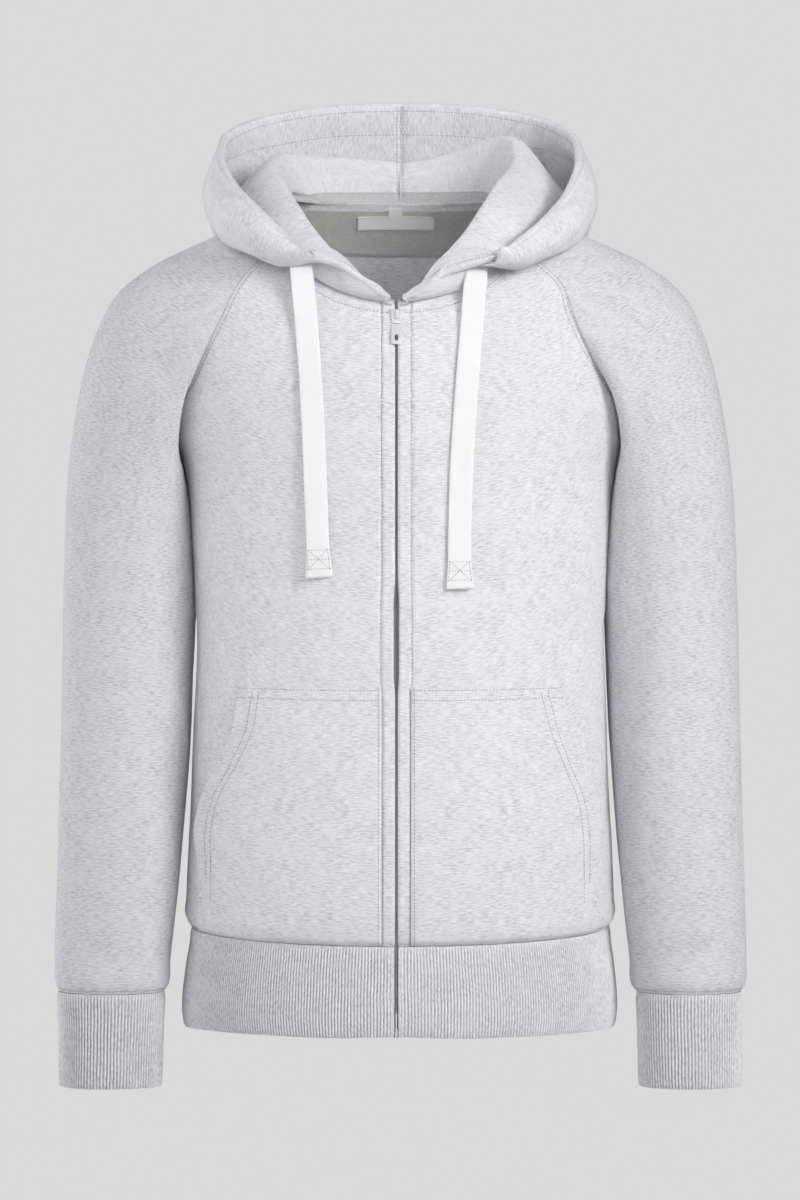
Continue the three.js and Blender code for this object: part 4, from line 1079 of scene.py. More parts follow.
def hoodGrid(side):
    s = np.concatenate([6 * acrossFront[::2], 6 + 2 * steps(0, 1, sleeve["saddleSteps"])[1:],
                        13 - 5 * acrossBack[::-1][1:]])
    neck = hoodNeckline(side)
    value = {name: column(hoodStations, "s", name, s) for name in hoodStations if name != "s"}
    right = 1 if side > 0 else 0
    shift = body["zipX"] * np.maximum(0, 1 - s / 6)
    crest = stacked(side * value["cx"] + shift - right * value["lean"], value["cy"],
                    value["cz"] + right * value["puff"])
    fold = stacked(side * value["bx"] + shift, value["by"], value["bz"])
    rim = stacked(side * value["rx"] + shift, value["ry"], value["rz"] - right * value["rimDrop"])
    neck = neck + unit(crest - neck) * 0.3
    depth = np.maximum(crest[:, 2] - fold[:, 2], 0)[:, None]
    outward = fold - neck
    outward[:, 2] = 0
    outward = unit(outward)
    size = np.minimum(1, depth / 45)
    up = mixed(neck, crest, 0.45) - outward * 3 * size
    over = mixed(crest, fold, 0.5) + outward * (6 + depth * 0.04) * size
    out = mixed(fold, rim, 0.45) + outward * (8 + depth * 0.05) * size
    control = np.stack([neck, up, crest, over, fold, out, rim])
    return np.stack([catmull(control, t) for t in steps(0, 1, hood["rows"])]), s


leftHoodGrid, hoodPlaces = hoodGrid(-1)
rightHoodGrid, hoodPlaces = hoodGrid(1)
leftHood = newCloth(leftHoodGrid)
rightHood = newCloth(rightHoodGrid, turned=True)
allCloth = [leftFront, rightFront, backCloth, leftSleeve, rightSleeve, leftHood, rightHood]
for cloth in allCloth:
    noteSeams(cloth)
for cloth in allCloth:
    shareSeams(cloth)
print("cloth grids laid out")

# Main creases as seen from the front or back: from x, z to x, z, bow, width, depth (below zero is a trough)
frontCreases = [
    (-221, -131, -190, -175, 4, 9, -2.6),  # soft creases into the underarms
    (-238, -150, -206, -205, 4, 15, 1.4),
    (222, -124, 196, -172, -4, 9, -1.6),
    (232, -150, 206, -200, -4, 15, 1.0),
    (-165, -215, -120, -262, 6, 18, -1.0),  # fronts below the underarm
    (166, -212, 128, -268, -6, 18, -1.2),
    (-124, -372, -90, -407, 5, 15, -1.7),  # above the pockets
    (131, -364, 166, -390, -5, 14, -1.7),
    (-60, -560, -140, -600, 6, 18, -1.1),
    (62, -560, 130, -598, -6, 18, -1.1),
    (-30, -250, -46, -420, 3, 30, -0.8),
    (26, -230, 30, -400, 3, 30, -0.8),
    (197, -240, 201, -425, 2, 8, -1.5),  # down the inner side of the right sleeve
    (-282, -330, -196, -362, -9, 24, -0.9),  # across the sleeves at the elbow and below
    (-286, -440, -190, -462, -7, 26, -0.8),
    (-288, -560, -196, -585, -6, 20, -0.8),
    (-292, -628, -202, -640, -4, 9, -1.3),
    (284, -320, 214, -348, 9, 24, -0.8),
    (288, -440, 200, -462, 7, 26, -0.8),
    (290, -556, 196, -578, 6, 20, -0.8),
    (292, -624, 202, -638, 4, 9, -1.4),
]
backCreases = [
    (-170, -190, -120, -240, 8, 15, -2.4),
    (168, -188, 122, -246, -8, 15, -2.4),
    (-150, -330, -70, -372, 8, 18, -2.2),
    (150, -322, 60, -380, -8, 18, -2.0),
    (-20, -200, -34, -330, 5, 26, -1.6),
    (-110, -520, -30, -560, 6, 18, -1.8),
    (112, -510, 40, -566, -6, 18, -1.8),
    (-222, -130, -196, -182, 5, 10, -3.0),
    (222, -128, 198, -180, -5, 10, -3.0),
    (-284, -330, -196, -362, -9, 13, -2.6),
    (-286, -392, -196, -418, -7, 14, -2.2),
    (-288, -470, -192, -492, -6, 13, -2.2),
    (-290, -560, -198, -580, -6, 12, -2.0),
    (284, -322, 196, -356, 9, 13, -2.6),
    (286, -388, 196, -414, 7, 14, -2.2),
    (288, -466, 192, -494, 6, 13, -2.2),
    (290, -556, 198, -582, 6, 12, -2.0),
]


def foldedHeight(cloth):
    points, normals = cloth["grid"], cloth["normals"]
    front = smoothStep(0.0, 0.55, -normals[..., 1])
    back = smoothStep(0.0, 0.55, normals[..., 1])
    height = creases(points, front, frontCreases) + creases(points, back, backCreases)
    return height + looseness(points, 0.85)


needle = 2.8  # from a seam to its topstitch


def seamGroove(away, depth=0.9, width=1.4):  # the seam itself, then the twin needle's channel
    return -depth * np.exp(-(away / width) ** 2) - np.exp(-(away - needle) ** 2)


def besideArm(points):  # where the body and the sleeves lie against each other below the underarm
    z = points[..., 2]
    return smoothStep(-212, -232, z) * smoothStep(-362, -346, z)


def gathers(points, away, reach, amount, seed):  # small puckers where the fleece is eased on to the rib
    ripple = valueNoise(points * (1, 1, 0.25), 9, seed) * amount
    return ripple * np.exp(-away / reach)


# Kangaroo pockets: how far each row reaches from the zip, by its place among the rows of the front
pocket = {
    "place": [0.02, 0.3, 1, 2, 3, 3.7, 4.35, 5, 5.7],
    "left": [163, 163, 164, 164, 163, 158, 145, 132.5, 129],
    "right": [166, 166, 167, 167, 165, 161, 151, 141, 134],
    "innerX": 12,
    "lift": 1.3,
    "openingLift": 5.5,
    "edgeZ": [416, 428, 450, 477, 503, 540],
    "edgeX": [130.5, 131.5, 136.5, 147, 158, 168],
    "topPlace": 5.7,
    "hollow": 2.4,
    "hollowAbove": 1.3,
    "topHem": 10,
    "openingHem": (14, 21),
    "zipStitch": 3.0,
    "flat": (0.165, 0.21),
    "area": 0.0345,
}


def makeFront(name, cloth, side):
    fromZip, fromSeam = edgeDistance(cloth, "first"), edgeDistance(cloth, "last")
    fromHem, fromNeck = edgeDistance(cloth, "bottom"), edgeDistance(cloth, "top")
    z = cloth["grid"][..., 2]
    gape = smoothStep(-318, -345, z) * smoothStep(-418, -404, z) - 0.35  # the zip's edges part at the belly
    cloth["grid"][..., 0] += side * gape * smoothStep(34, 0, fromZip)
    above = smoothStep(8.6, 9.4, rowPlaces)[:, None]
    height = foldedHeight(cloth)
    height *= smoothStep(0, 14, fromZip) * 0.8 + 0.2
    height += seamGroove(fromSeam) * above + 0.6 * seamGroove(fromSeam, 0.5) * (1 - above)
    height += seamGroove(fromNeck, 1.2) - 0.9 * np.exp(-((fromNeck - body["neckStitch"]) / 1.1) ** 2)
    height += seamGroove(fromHem, 2.6, 2.6) + 1.6 * np.exp(-((fromHem - 12) / 8) ** 2)
    height += gathers(cloth["grid"], fromHem, 16, 1.0, 21)
    height += body["sideSwell"] * besideArm(cloth["grid"]) * smoothStep(34, 0, fromSeam)
    roll = np.clip(1 - fromZip / 2.2, 0, 1)
    height -= 1.7 * (1 - np.sqrt(1 - roll ** 2 * 0.99))
    placket = body["placket"]  # the facing stands out as far as its stitches
    height += 0.7 * smoothStep(placket + 1.5, placket - 1.5, fromZip)
    height -= 1.9 * np.exp(-((fromZip - placket) / 0.9) ** 2)
    edgeZ = pocket["edgeZ"]
    outside = side * cloth["grid"][..., 0] - np.interp(-z, edgeZ, pocket["edgeX"])
    beside = smoothStep(-16, 4, outside) * np.exp(-np.clip(outside, 0, None) / 12)
    beside *= smoothStep(edgeZ[0] - 2, edgeZ[0] + 6, -z) * smoothStep(edgeZ[-1], edgeZ[-1] - 30, -z)
    height -= pocket["hollow"] * beside  # a hollow in the front beside the hand opening
    topZ = np.array([np.interp(pocket["topPlace"], rowPlaces, line) for line in z.T])
    over = np.exp(-((z - topZ - 2.5) / 2.2) ** 2) * smoothStep(4, -8, outside) * smoothStep(12, 16, fromZip)
    height -= pocket["hollowAbove"] * over
    finishCloth(name, cloth, height, body["fleece"], "fleece", "front_" + sideWord(side),
                body["frontFlat"], body["frontArea"])


makeFront("leftFront", leftFront, -1)
makeFront("rightFront", rightFront, 1)


def makeBack():
    cloth = backCloth
    fromLeft, fromRight = edgeDistance(cloth, "first"), edgeDistance(cloth, "last")
    fromSeam = np.minimum(fromLeft, fromRight)
    fromHem = edgeDistance(cloth, "bottom")
    above = smoothStep(8.6, 9.4, rowPlaces)[:, None]
    height = foldedHeight(cloth)
    height += seamGroove(fromSeam) * above + 0.6 * seamGroove(fromSeam, 0.5) * (1 - above)
    height += seamGroove(fromHem, 2.6, 2.6) + 1.6 * np.exp(-((fromHem - 12) / 8) ** 2)
    height += gathers(cloth["grid"], fromHem, 16, 1.0, 22)
    height += body["sideSwell"] * besideArm(cloth["grid"]) * smoothStep(34, 0, fromSeam)
    finishCloth("backPanel", cloth, height, body["fleece"], "fleece", "back", body["backFlat"],
                body["backArea"])


makeBack()


def makeSleeve(name, cloth, side):
    fromTop, fromCuff = edgeDistance(cloth, "bottom"), edgeDistance(cloth, "top")
    height = foldedHeight(cloth)
    height += seamGroove(fromTop)
    height += seamGroove(fromCuff, 2.2, 2.4) + 1.5 * np.exp(-((fromCuff - 12) / 8) ** 2)
    height += gathers(cloth["grid"], fromCuff, 18, 1.1, 31 + side)
    inner = smoothStep(0.55, 0.95, -side * cloth["normals"][..., 0])
    height += body["sleeveSwell"] * besideArm(cloth["grid"]) * inner
    finishCloth(name, cloth, height, body["fleece"], "sleeve", "sleeve_" + sideWord(side),
                sleeve["flat"], sleeve["area"], level=True)


makeSleeve("leftSleeve", leftSleeve, -1)
makeSleeve("rightSleeve", rightSleeve, 1)
print("fronts, back and sleeves made")

# Ribs at the hem and cuffs
hemRib = {
    "v": [0, 0.46, 1],
    "side": [-616, -655, -701],
    "front": [-625.5, -658, -701],
    "back": [-622, -657, -701],
    "ribs": 420,
    "pointsPerRib": 4,
    "thickness": 2.6,
    "relief": 0.55,
    "flat": (0.98, 0.083),
    "area": 0.08,
}
cuffRib = {
    "v": [0, 0.17, 1],
    "z": [-670.6, -684, -750],
    "outer": [289.5, 288.5, 288],
    "inner": [198.5, 199.5, 202],
    "depth": [41.5, 40, 37.5],
    "midY": [-19, -19.5, -21],
    "ribs": 96,
    "pointsPerRib": 5,
    "thickness": 2.6,
    "relief": 0.62,
    "flat": (0.265, 0.08),
    "area": 0.0205,
}
foldRows = [0.955, 0.975, 0.99]  # more rows at the folded edge
ribRows = np.unique(np.concatenate([steps(0, 1, 12), foldRows]))[:, None]


def makeRib(name, nodeName, outer, inner, turns, closed, settings):
    rows, columns = outer.shape[:2]
    raised = np.ones((rows, columns))
    raised[0] = 0.2
    raised[-1] = 0.6
    if not closed:
        raised *= smoothStep(0, 9, np.minimum(np.arange(columns), np.arange(columns)[::-1]))[None]
    u, v = arcLengths(outer)
    uv = np.stack([v, u], axis=-1).reshape(-1, 2)
    points = np.concatenate([outer.reshape(-1, 3), inner.reshape(-1, 3)])
    made = putMesh(name, points, wallFaces(rows, columns, closed, False), "rib", frontAndBack(uv))
    for title, values in (("turn", np.broadcast_to(turns, (rows, columns))), ("raised", raised)):
        layer = made.data.attributes.new(title, "FLOAT", "POINT")
        inside = np.zeros(rows * columns) if title == "raised" else values.ravel()
        both = np.concatenate([values.ravel(), inside])
        layer.data.foreach_set("value", both.astype(np.float32))
    runNodes(made, knitRibs, {
        "Ribs": float(settings["ribs"]), "Relief": settings["relief"] * 0.001,
        "Material": finish["rib"], "Seed": 2.0,
    })
    declare(made, nodeName)


def foldedEdge(v):  # how far the band's end turns in
    return 1.1 * (1 - np.sqrt(1 - smoothStep(0.94, 1, v) ** 2 * 0.98))


def makeHemRib():
    gap = (body["edgeGap"] + 0.3) / torso["half"][0]
    columns = hemRib["ribs"] * hemRib["pointsPerRib"]
    turns = steps(0, 1, columns)
    angle = mixed(gap, 2 * math.pi - gap, turns)[None]
    v = ribRows
    ahead, sideways = np.cos(angle), np.sin(angle)
    middle = np.where(ahead > 0, column(hemRib, "v", "front", v), column(hemRib, "v", "back", v))
    z = mixed(column(hemRib, "v", "side", v), middle, np.abs(ahead)) - 0.3 * (v == 0)
    place = stacked(sideways * 180, -ahead * 120, z)
    sway = valueNoise(place * (1, 1, 0), 60, 41) * 1.1 * v ** 2
    ease = valueNoise(place * (1, 1, 0.3), 26, 42) * 0.8
    curl = foldedEdge(v)

    def layer(depth):
        half = column(torso, "z", "half", z) - depth
        reach = np.where(ahead > 0, column(torso, "z", "front", z), column(torso, "z", "back", z)) - depth
        return stacked(-half * sideways + body["zipX"] * np.maximum(ahead, 0), -reach * ahead, z + sway)

    seam = 0.9 * np.exp(-v / 0.02)
    outer = layer(seam + curl - ease)
    inner = layer(hemRib["thickness"] - curl * 0.6 - ease)
    makeRib("hemRib", "hem_rib", outer, inner, turns, False, hemRib)


makeHemRib()


def makeCuff(name, nodeName, side):
    columns = cuffRib["ribs"] * cuffRib["pointsPerRib"]
    turns = steps(0, 1, columns)[:-1]
    angle = -2 * math.pi * turns[None]
    v = ribRows
    value = {key: column(cuffRib, "v", key, v) for key in ("z", "outer", "inner", "depth", "midY")}
    place = stacked(np.sin(angle) * 44 + side * 245, -np.cos(angle) * 40, value["z"])
    ease = valueNoise(place * (1, 1, 0.3), 22, 51 + side) * 0.9 + valueNoise(place, 45, 55 + side) * 0.8
    curl = foldedEdge(v)

    def layer(depth):
        half = (value["outer"] - value["inner"]) / 2 - depth
        x = side * (value["outer"] + value["inner"]) / 2 + half * np.sin(angle)
        return stacked(x, value["midY"] - (value["depth"] - depth) * np.cos(angle), value["z"])

    outer = layer(0.9 * np.exp(-v / 0.02) + curl - ease)
    inner = layer(cuffRib["thickness"] - curl * 0.6 - ease)
    makeRib(name, nodeName, outer, inner, turns[None], True, cuffRib)


makeCuff("leftCuff", "cuff_left", -1)
makeCuff("rightCuff", "cuff_right", 1)
print("ribs made")


def rimRoll(face, normals, radius, count):  # the rim turns over from the lining to the outer layer
    along = unit(face[-1] - face[-2])
    rows, ways = [], []
    for angle in steps(0, math.pi, count)[1:]:
        way = normals[-1] * math.cos(angle) + along * math.sin(angle)
        rows.append(face[-1] - normals[-1] * radius + way * radius)
        ways.append(way)
    return np.array(rows), np.array(ways)


def makeHood(name, cloth, side):
    grid, normals = cloth["grid"], cloth["normals"]
    fleece, tunnel = body["fleece"], hood["tunnel"]
    fromNeck, fromRim = edgeDistance(cloth, "bottom"), edgeDistance(cloth, "top")
    fromBack = edgeDistance(cloth, "last")
    share = steps(0, 1, hood["rows"])[:, None]
    soft = smoothStep(0, 0.12, share) * (0.35 + 0.65 * smoothStep(1, 0.8, share))
    height = valueNoise(grid, 70, 61 + side) * 2.4 * soft + valueNoise(grid, 30, 64 + side) * 0.9 * soft
    height += -1.9 * np.exp(-((fromRim - tunnel) / 1.6) ** 2) + 1.1 * np.exp(-((fromRim - 12) / 8) ** 2)
    height += seamGroove(fromBack, 1.5, 1.5)
    height += -0.9 * np.exp(-((fromRim - 2.5) / 1.1) ** 2)
    face = grid + normals * height[..., None]
    cloth["face"] = face
    roll = mixed(hood["rollAtZip"], hood["roll"], smoothStep(0.5, 4, hoodPlaces))
    rows, ways = rimRoll(face, normals, roll[:, None], hood["rollSteps"])
    u, v = arcLengths(np.concatenate([face, rows]))
    uv = np.stack([v, u], axis=-1).reshape(-1, 2)
    back = np.concatenate([face - normals * fleece, rows - ways * fleece])
    front = np.concatenate([face, rows])
    count, across = front.shape[:2]
    points = np.concatenate([front.reshape(-1, 3), back.reshape(-1, 3)])
    lining = putMesh(name + "Lining", points, wallFaces(count, across, False, cloth["turned"]), "fleece",
                     frontAndBack(uv))
    declare(lining, "hood_lining_" + sideWord(side))
    print("lining area", round(surfaceArea(front) / 1e6, 4))
    puff = hood["outerPuff"] * np.sin(np.pi * np.clip(share, 0, 1)) ** 0.7
    puff = puff + (2 * roll - 2 * fleece - hood["layerGap"]) * smoothStep(0.8, 1, share)
    puff = puff + valueNoise(grid, 62, 71 + side) * 2.0 * soft
    puff += seamGroove(fromBack, 1.4, 1.5) + seamGroove(fromNeck, 1.0, 1.6)
    puff += -0.9 * np.exp(-((fromRim - 3.5) / 1.1) ** 2) - 1.5 * np.exp(-((fromRim - tunnel) / 1.6) ** 2)
    top = face - normals * (fleece + hood["layerGap"])
    under = grid - normals * (2 * fleece + hood["layerGap"] + puff)[..., None]
    u, v = arcLengths(under)
    uv = np.stack([v, u], axis=-1).reshape(-1, 2)
    count, across = under.shape[:2]
    points = np.concatenate([top.reshape(-1, 3), under.reshape(-1, 3)])
    outer = putMesh(name + "Outer", points, wallFaces(count, across, False, cloth["turned"]), "fleece",
                    np.concatenate([uv + 900, uv]))
    declare(outer, "hood_outer_" + sideWord(side))


makeHood("leftHood", leftHood, -1)
makeHood("rightHood", rightHood, 1)
print("hood made")


def onFront(cloth, place, x):  # points of the front's face and its normals at a row place and x
    rows = np.searchsorted(rowPlaces, place, side="right") - 1
    rows = min(rows, len(rowPlaces) - 2)
    t = (place - rowPlaces[rows]) / (rowPlaces[rows + 1] - rowPlaces[rows])
    found = []
    for layer in ("face", "normals"):
        pair = []
        for row in (rows, rows + 1):
            run = np.abs(cloth["grid"][row, :, 0] - body["zipX"])
            pair.append(np.stack([np.interp(np.abs(x - body["zipX"]), run, cloth[layer][row, :, k])
                                  for k in range(3)], axis=-1))
        found.append(mixed(pair[0], pair[1], t))
    return found[0], unit(found[1])


def makePocket(name, side, front):
    key = sideWord(side)
    width = 177.5 - side * body["zipX"]
    places = np.concatenate([steps(0.02, 5.6, 84), [5.63, 5.66, 5.68, 5.7]])
    t = crowded(54, 0.75)
    base, ways = [], []
    for place in places:
        inner = math.asin(pocket["innerX"] / width)
        outer = math.asin(float(column(pocket, "place", key, place)) / width)
        x = body["zipX"] + side * width * np.sin(mixed(inner, outer, t))
        on, way = onFront(front, place, x)
        base.append(on)
        ways.append(way)
    cloth = newCloth(np.array(base), turned=side < 0)
    cloth["normals"] = np.array(ways)
    fromZip, fromOpening = edgeDistance(cloth, "first"), edgeDistance(cloth, "last")
    fromTop, fromHem = edgeDistance(cloth, "top"), edgeDistance(cloth, "bottom")
    openRows = smoothStep(2.0, 3.2, places)[:, None] * smoothStep(5.66, 5.3, places)[:, None]
    hand = np.exp(-fromOpening / 16) * openRows
    nearest = np.minimum(np.minimum(fromZip, fromTop), fromHem + 4)
    nearest = np.minimum(nearest, fromOpening)
    height = pocket["lift"] + body["fleece"] + 1.4 * smoothStep(0, 60, nearest) + pocket["openingLift"] * hand
    height += valueNoise(cloth["grid"], 42, 81 + side) * 0.8 * smoothStep(0, 20, nearest)
    edge = np.clip(1 - nearest / 1.2, 0, 1)
    height -= 1.0 * (1 - np.sqrt(1 - edge ** 2 * 0.99))
    channel = -0.8 * np.exp(-((fromTop - pocket["topHem"]) / 1.1) ** 2)
    channel = channel - 0.5 * np.exp(-((fromZip - pocket["zipStitch"]) / 0.9) ** 2)
    for inset in pocket["openingHem"]:
        channel += -0.9 * np.exp(-((fromOpening - inset) / 1.1) ** 2) * smoothStep(1.2, 2.4, places)[:, None]
    height += channel
    height *= smoothStep(-2, 5, fromHem)
    finishCloth(name, cloth, height, body["fleece"], "fleece", "pocket_" + key, pocket["flat"],
                pocket["area"])
    return cloth


leftPocket = makePocket("leftPocket", -1, leftFront)
rightPocket = makePocket("rightPocket", 1, rightFront)
print("pockets made")


zipTape = {
    "across": [0.5, 1.6, 3, 6, 9, 11],
    "behind": 2.95,
    "thickness": 0.8,
    "flat": (0.012, 0.62),
    "area": 0.0068,
}


def makeTape(name, side, cloth):
    middle = cloth["grid"][:, 0][::3]
    low = steps(-700, -640, 12)
    low = low[low < middle[0, 2] - 4]
    z = np.concatenate([low, middle[:, 2]])
    y = np.concatenate([-column(torso, "z", "front", low), middle[:, 1]])
    x = np.array(zipTape["across"])
    grid = stacked(body["zipX"] + side * x[None], y[:, None] + zipTape["behind"] + x[None] * 0.06, z[:, None])
    tape = newCloth(grid, turned=side < 0)
    flatFace = np.zeros(grid.shape[:2])
    finishCloth(name, tape, flatFace, zipTape["thickness"], "tape", "zip_tape_" + sideWord(side),
                zipTape["flat"], zipTape["area"])
    return tape


leftTape = makeTape("leftZipTape", -1, leftFront)
rightTape = makeTape("rightZipTape", 1, rightFront)
for name, tape in (("zipCoilLeft", leftTape), ("zipCoilRight", rightTape)):  # teeth just ahead of the tape
    sew(name, [tape["grid"][:, 1] + (0, -0.9, 0)], pitch=1.3, half=1.3, thread=0.42, slant=1.45,
        material="coil")

# Tape, yoke and labels inside the back neck
neckPieces = {
    "half": 82,
    "tapeBelow": 3.5,
    "tapeAbove": 9,
    "tapeThickness": 0.6,
    "tapeFlat": (0.24, 0.013),
    "tapeArea": 0.003,
    "yokeTop": -2.5,
    "yokeDepth": 44.5,
    "yokeFlat": (0.165, 0.045),
    "yokeArea": 0.0066,
    "inside": 2.9,
    "over": 4.6,
    "patchThickness": 0.8,
    "labelHalf": 33.5,
    "labelFlat": (0.067, 0.014),
    "labelArea": 0.0009,
    "tabHalf": 6,
    "tabFlat": (0.012, 0.011),
    "tabArea": 0.00012,
}
tapeColumns = slice(-(len(acrossBack) + sleeve["saddleSteps"] - 3), None)
wholeHood = {}
for key, layer in (("grid", "face"), ("normals", "normals")):
    halves = leftHood[layer][:, tapeColumns], rightHood[layer][:, tapeColumns][:, -2::-1]
    wholeHood[key] = np.concatenate(halves, axis=1)


def onBackInside(x, z, depth):
    top = backCloth["grid"][body["rowsBelow"] + 10:]
    ways = backCloth["normals"][body["rowsBelow"] + 10:]
    run = top[-1, :, 0]
    points = []
    for xx, zz in zip(np.ravel(x), np.ravel(z)):
        i = np.interp(xx, run, np.arange(len(run)))
        for _ in range(4):  # the columns lean, so the place is looked for again at its own height
            low = int(min(i, top.shape[1] - 2))
            t = i - low
            line = mixed(top[:, low], top[:, low + 1], t)
            xAt = np.interp(zz, line[:, 2], line[:, 0])
            slope = np.interp(zz, line[:, 2], (top[:, low + 1] - top[:, low])[:, 0])
            i = np.clip(i + (xx - xAt) / max(slope, 0.2), 0, top.shape[1] - 1.001)
        low = int(min(i, top.shape[1] - 2))
        line = mixed(top[:, low], top[:, low + 1], i - low)
        way = mixed(ways[:, low], ways[:, low + 1], i - low)
        spot = np.array([np.interp(zz, line[:, 2], line[:, k]) for k in range(3)])
        aim = np.array([np.interp(zz, line[:, 2], way[:, k]) for k in range(3)])
        points.append(spot - aim * depth)
    return np.array(points).reshape(*np.shape(x), 3)


def makePatch(name, nodeName, x, z, depth, material, size, bulge=0.0):
    cloth = newCloth(onBackInside(x, z, depth))
    height = bulge + np.zeros(x.shape)
    finishCloth(name, cloth, height, neckPieces["patchThickness"], material, nodeName,
                neckPieces[size + "Flat"], neckPieces[size + "Area"])
    return cloth


def neckBand(below, above, count):  # a strip over the neck seam, partly on the hood and partly below it
    grid, ways = wholeHood["grid"], wholeHood["normals"]
    runs = edgeDistance(wholeHood, "bottom").T
    i = np.arange(grid.shape[1])
    rows = []
    for d in steps(-below, above, count):
        place = np.array([np.interp(max(d, 0), run, np.arange(len(run))) for run in runs])
        low = place.astype(int)
        t = (place - low)[:, None]
        spot = mixed(grid[low, i], grid[low + 1, i], t) + (0, 0, min(d, 0))
        way = mixed(ways[low, i], ways[low + 1, i], t)
        rows.append(spot + way * mixed(1.2, 0.75, smoothStep(-1, 3, d)))
    return np.array(rows)


def makeNeckPieces():
    half = neckPieces["half"]
    tape = newCloth(neckBand(neckPieces["tapeBelow"], neckPieces["tapeAbove"], 12))
    finishCloth("neckTape", tape, np.zeros(tape["grid"].shape[:2]), neckPieces["tapeThickness"], "neckTape",
                "neck_tape", neckPieces["tapeFlat"], neckPieces["tapeArea"])
    top = neckPieces["yokeTop"]
    x = steps(-half, half, 96)[None] + np.zeros((36, 1))
    bottom = 3 - neckPieces["yokeDepth"] * (1 - (x[0] / (half + 4)) ** 4) ** 0.25
    bottom = np.minimum(bottom, top - 8)
    z = mixed(bottom[None], top, steps(0, 1, 35)[:, None])
    away = z - bottom[None]
    bulge = 0.5 * smoothStep(0, 8, away) + 0.9 * np.exp(-((away - 3.5) / 2.6) ** 2)
    yoke = makePatch("neckYoke", "neck_yoke", x, z, neckPieces["inside"], "yoke", "yoke",
                     bulge)
    mid = body["zipX"] * 1.2
    x = mid + steps(-neckPieces["labelHalf"], neckPieces["labelHalf"], 40)[None] + np.zeros((11, 1))
    z = steps(-17, -6, 10)[:, None] - 0.0006 * (x - mid) ** 2 + np.zeros_like(x)
    label = makePatch("blankLabel", "label_main", x, z, neckPieces["over"], "cotton", "label")
    x = -4 + steps(-neckPieces["tabHalf"], neckPieces["tabHalf"], 10)[None] + np.zeros((11, 1))
    z = steps(-7.5, 1.0, 10)[:, None] + np.zeros_like(x)
    makePatch("blankSizeTab", "label_size", x, z, neckPieces["over"] + 0.4, "cotton", "tab")
    lines = []
    for cloth, insets, edges in ((tape, (1.2,), ("top", "bottom")), (yoke, (1.6, 7.2), ("bottom",)),
                                 (label, (1.0,), ("top", "bottom", "first", "last"))):
        for edge in edges:
            for inset in insets:
                lines.append(insetLine(cloth, edge, inset))
    return lines


neckLines = makeNeckPieces()
print("neck pieces made")

# Topstitching
raglanSpan = (body["rowsBelow"] / (body["rowsBelow"] + body["rowsAbove"]), 1.0)
for cloth, name in ((leftFront, "Left"), (rightFront, "Right")):
    sew("frontStitches" + name, [
        insetLine(cloth, "last", needle, 0.1, raglanSpan),
        insetLine(cloth, "top", body["neckStitch"], 0.1, (0.1, 1.0)),
        insetLine(cloth, "first", body["placket"], 0.1),
        insetLine(cloth, "bottom", body["hemStitch"], 0.3, (0.02, 1.0)),
    ])
sew("backStitches", [insetLine(backCloth, edge, needle, 0.1, raglanSpan) for edge in ("first", "last")]
    + [insetLine(backCloth, "bottom", body["hemStitch"], 0.3)])
for cloth, name in ((leftSleeve, "Left"), (rightSleeve, "Right")):
    line = insetLine(cloth, "bottom", needle, 0.1)[sleeve["saddleSteps"]:]
    sew("sleeveStitches" + name, [line, insetLine(cloth, "top", body["hemStitch"], 0.3)])
for cloth, name in ((leftHood, "Left"), (rightHood, "Right")):
    sew("hoodStitches" + name, [
        insetLine(cloth, "top", hood["tunnel"], 0.1, (0.12, 1.0)),
        insetLine(cloth, "top", 3, 0.1),
        insetLine(cloth, "last", 2.6, 0.1),
    ])
for cloth, name in ((leftPocket, "Left"), (rightPocket, "Right")):
    near, far = pocket["openingHem"]
    sew("pocketStitches" + name, [
        insetLine(cloth, "top", pocket["topHem"], 0.1, (0, 0.98)),
        insetLine(cloth, "top", 1.8, 0.1, (0, 0.98)),
        insetLine(cloth, "last", near, 0.1, (0.3, 0.95)),
        insetLine(cloth, "last", far, 0.1, (0.2, 0.95)),
        insetLine(cloth, "first", pocket["zipStitch"], 0.1),
    ])
print("topstitching made")

# Slider, pull and retainer
zipParts = {
    "sliderPlace": (-3.0, -105.7),
    "sliderY": -103.6,
    "slope": 13,
    "width": 9.5,
    "height": 13,
    "pullHinge": (-106.6, -112.6),
    "pullWidth": 8.5,
    "pullLength": 17,
    "pullThickness": 1.6,
}


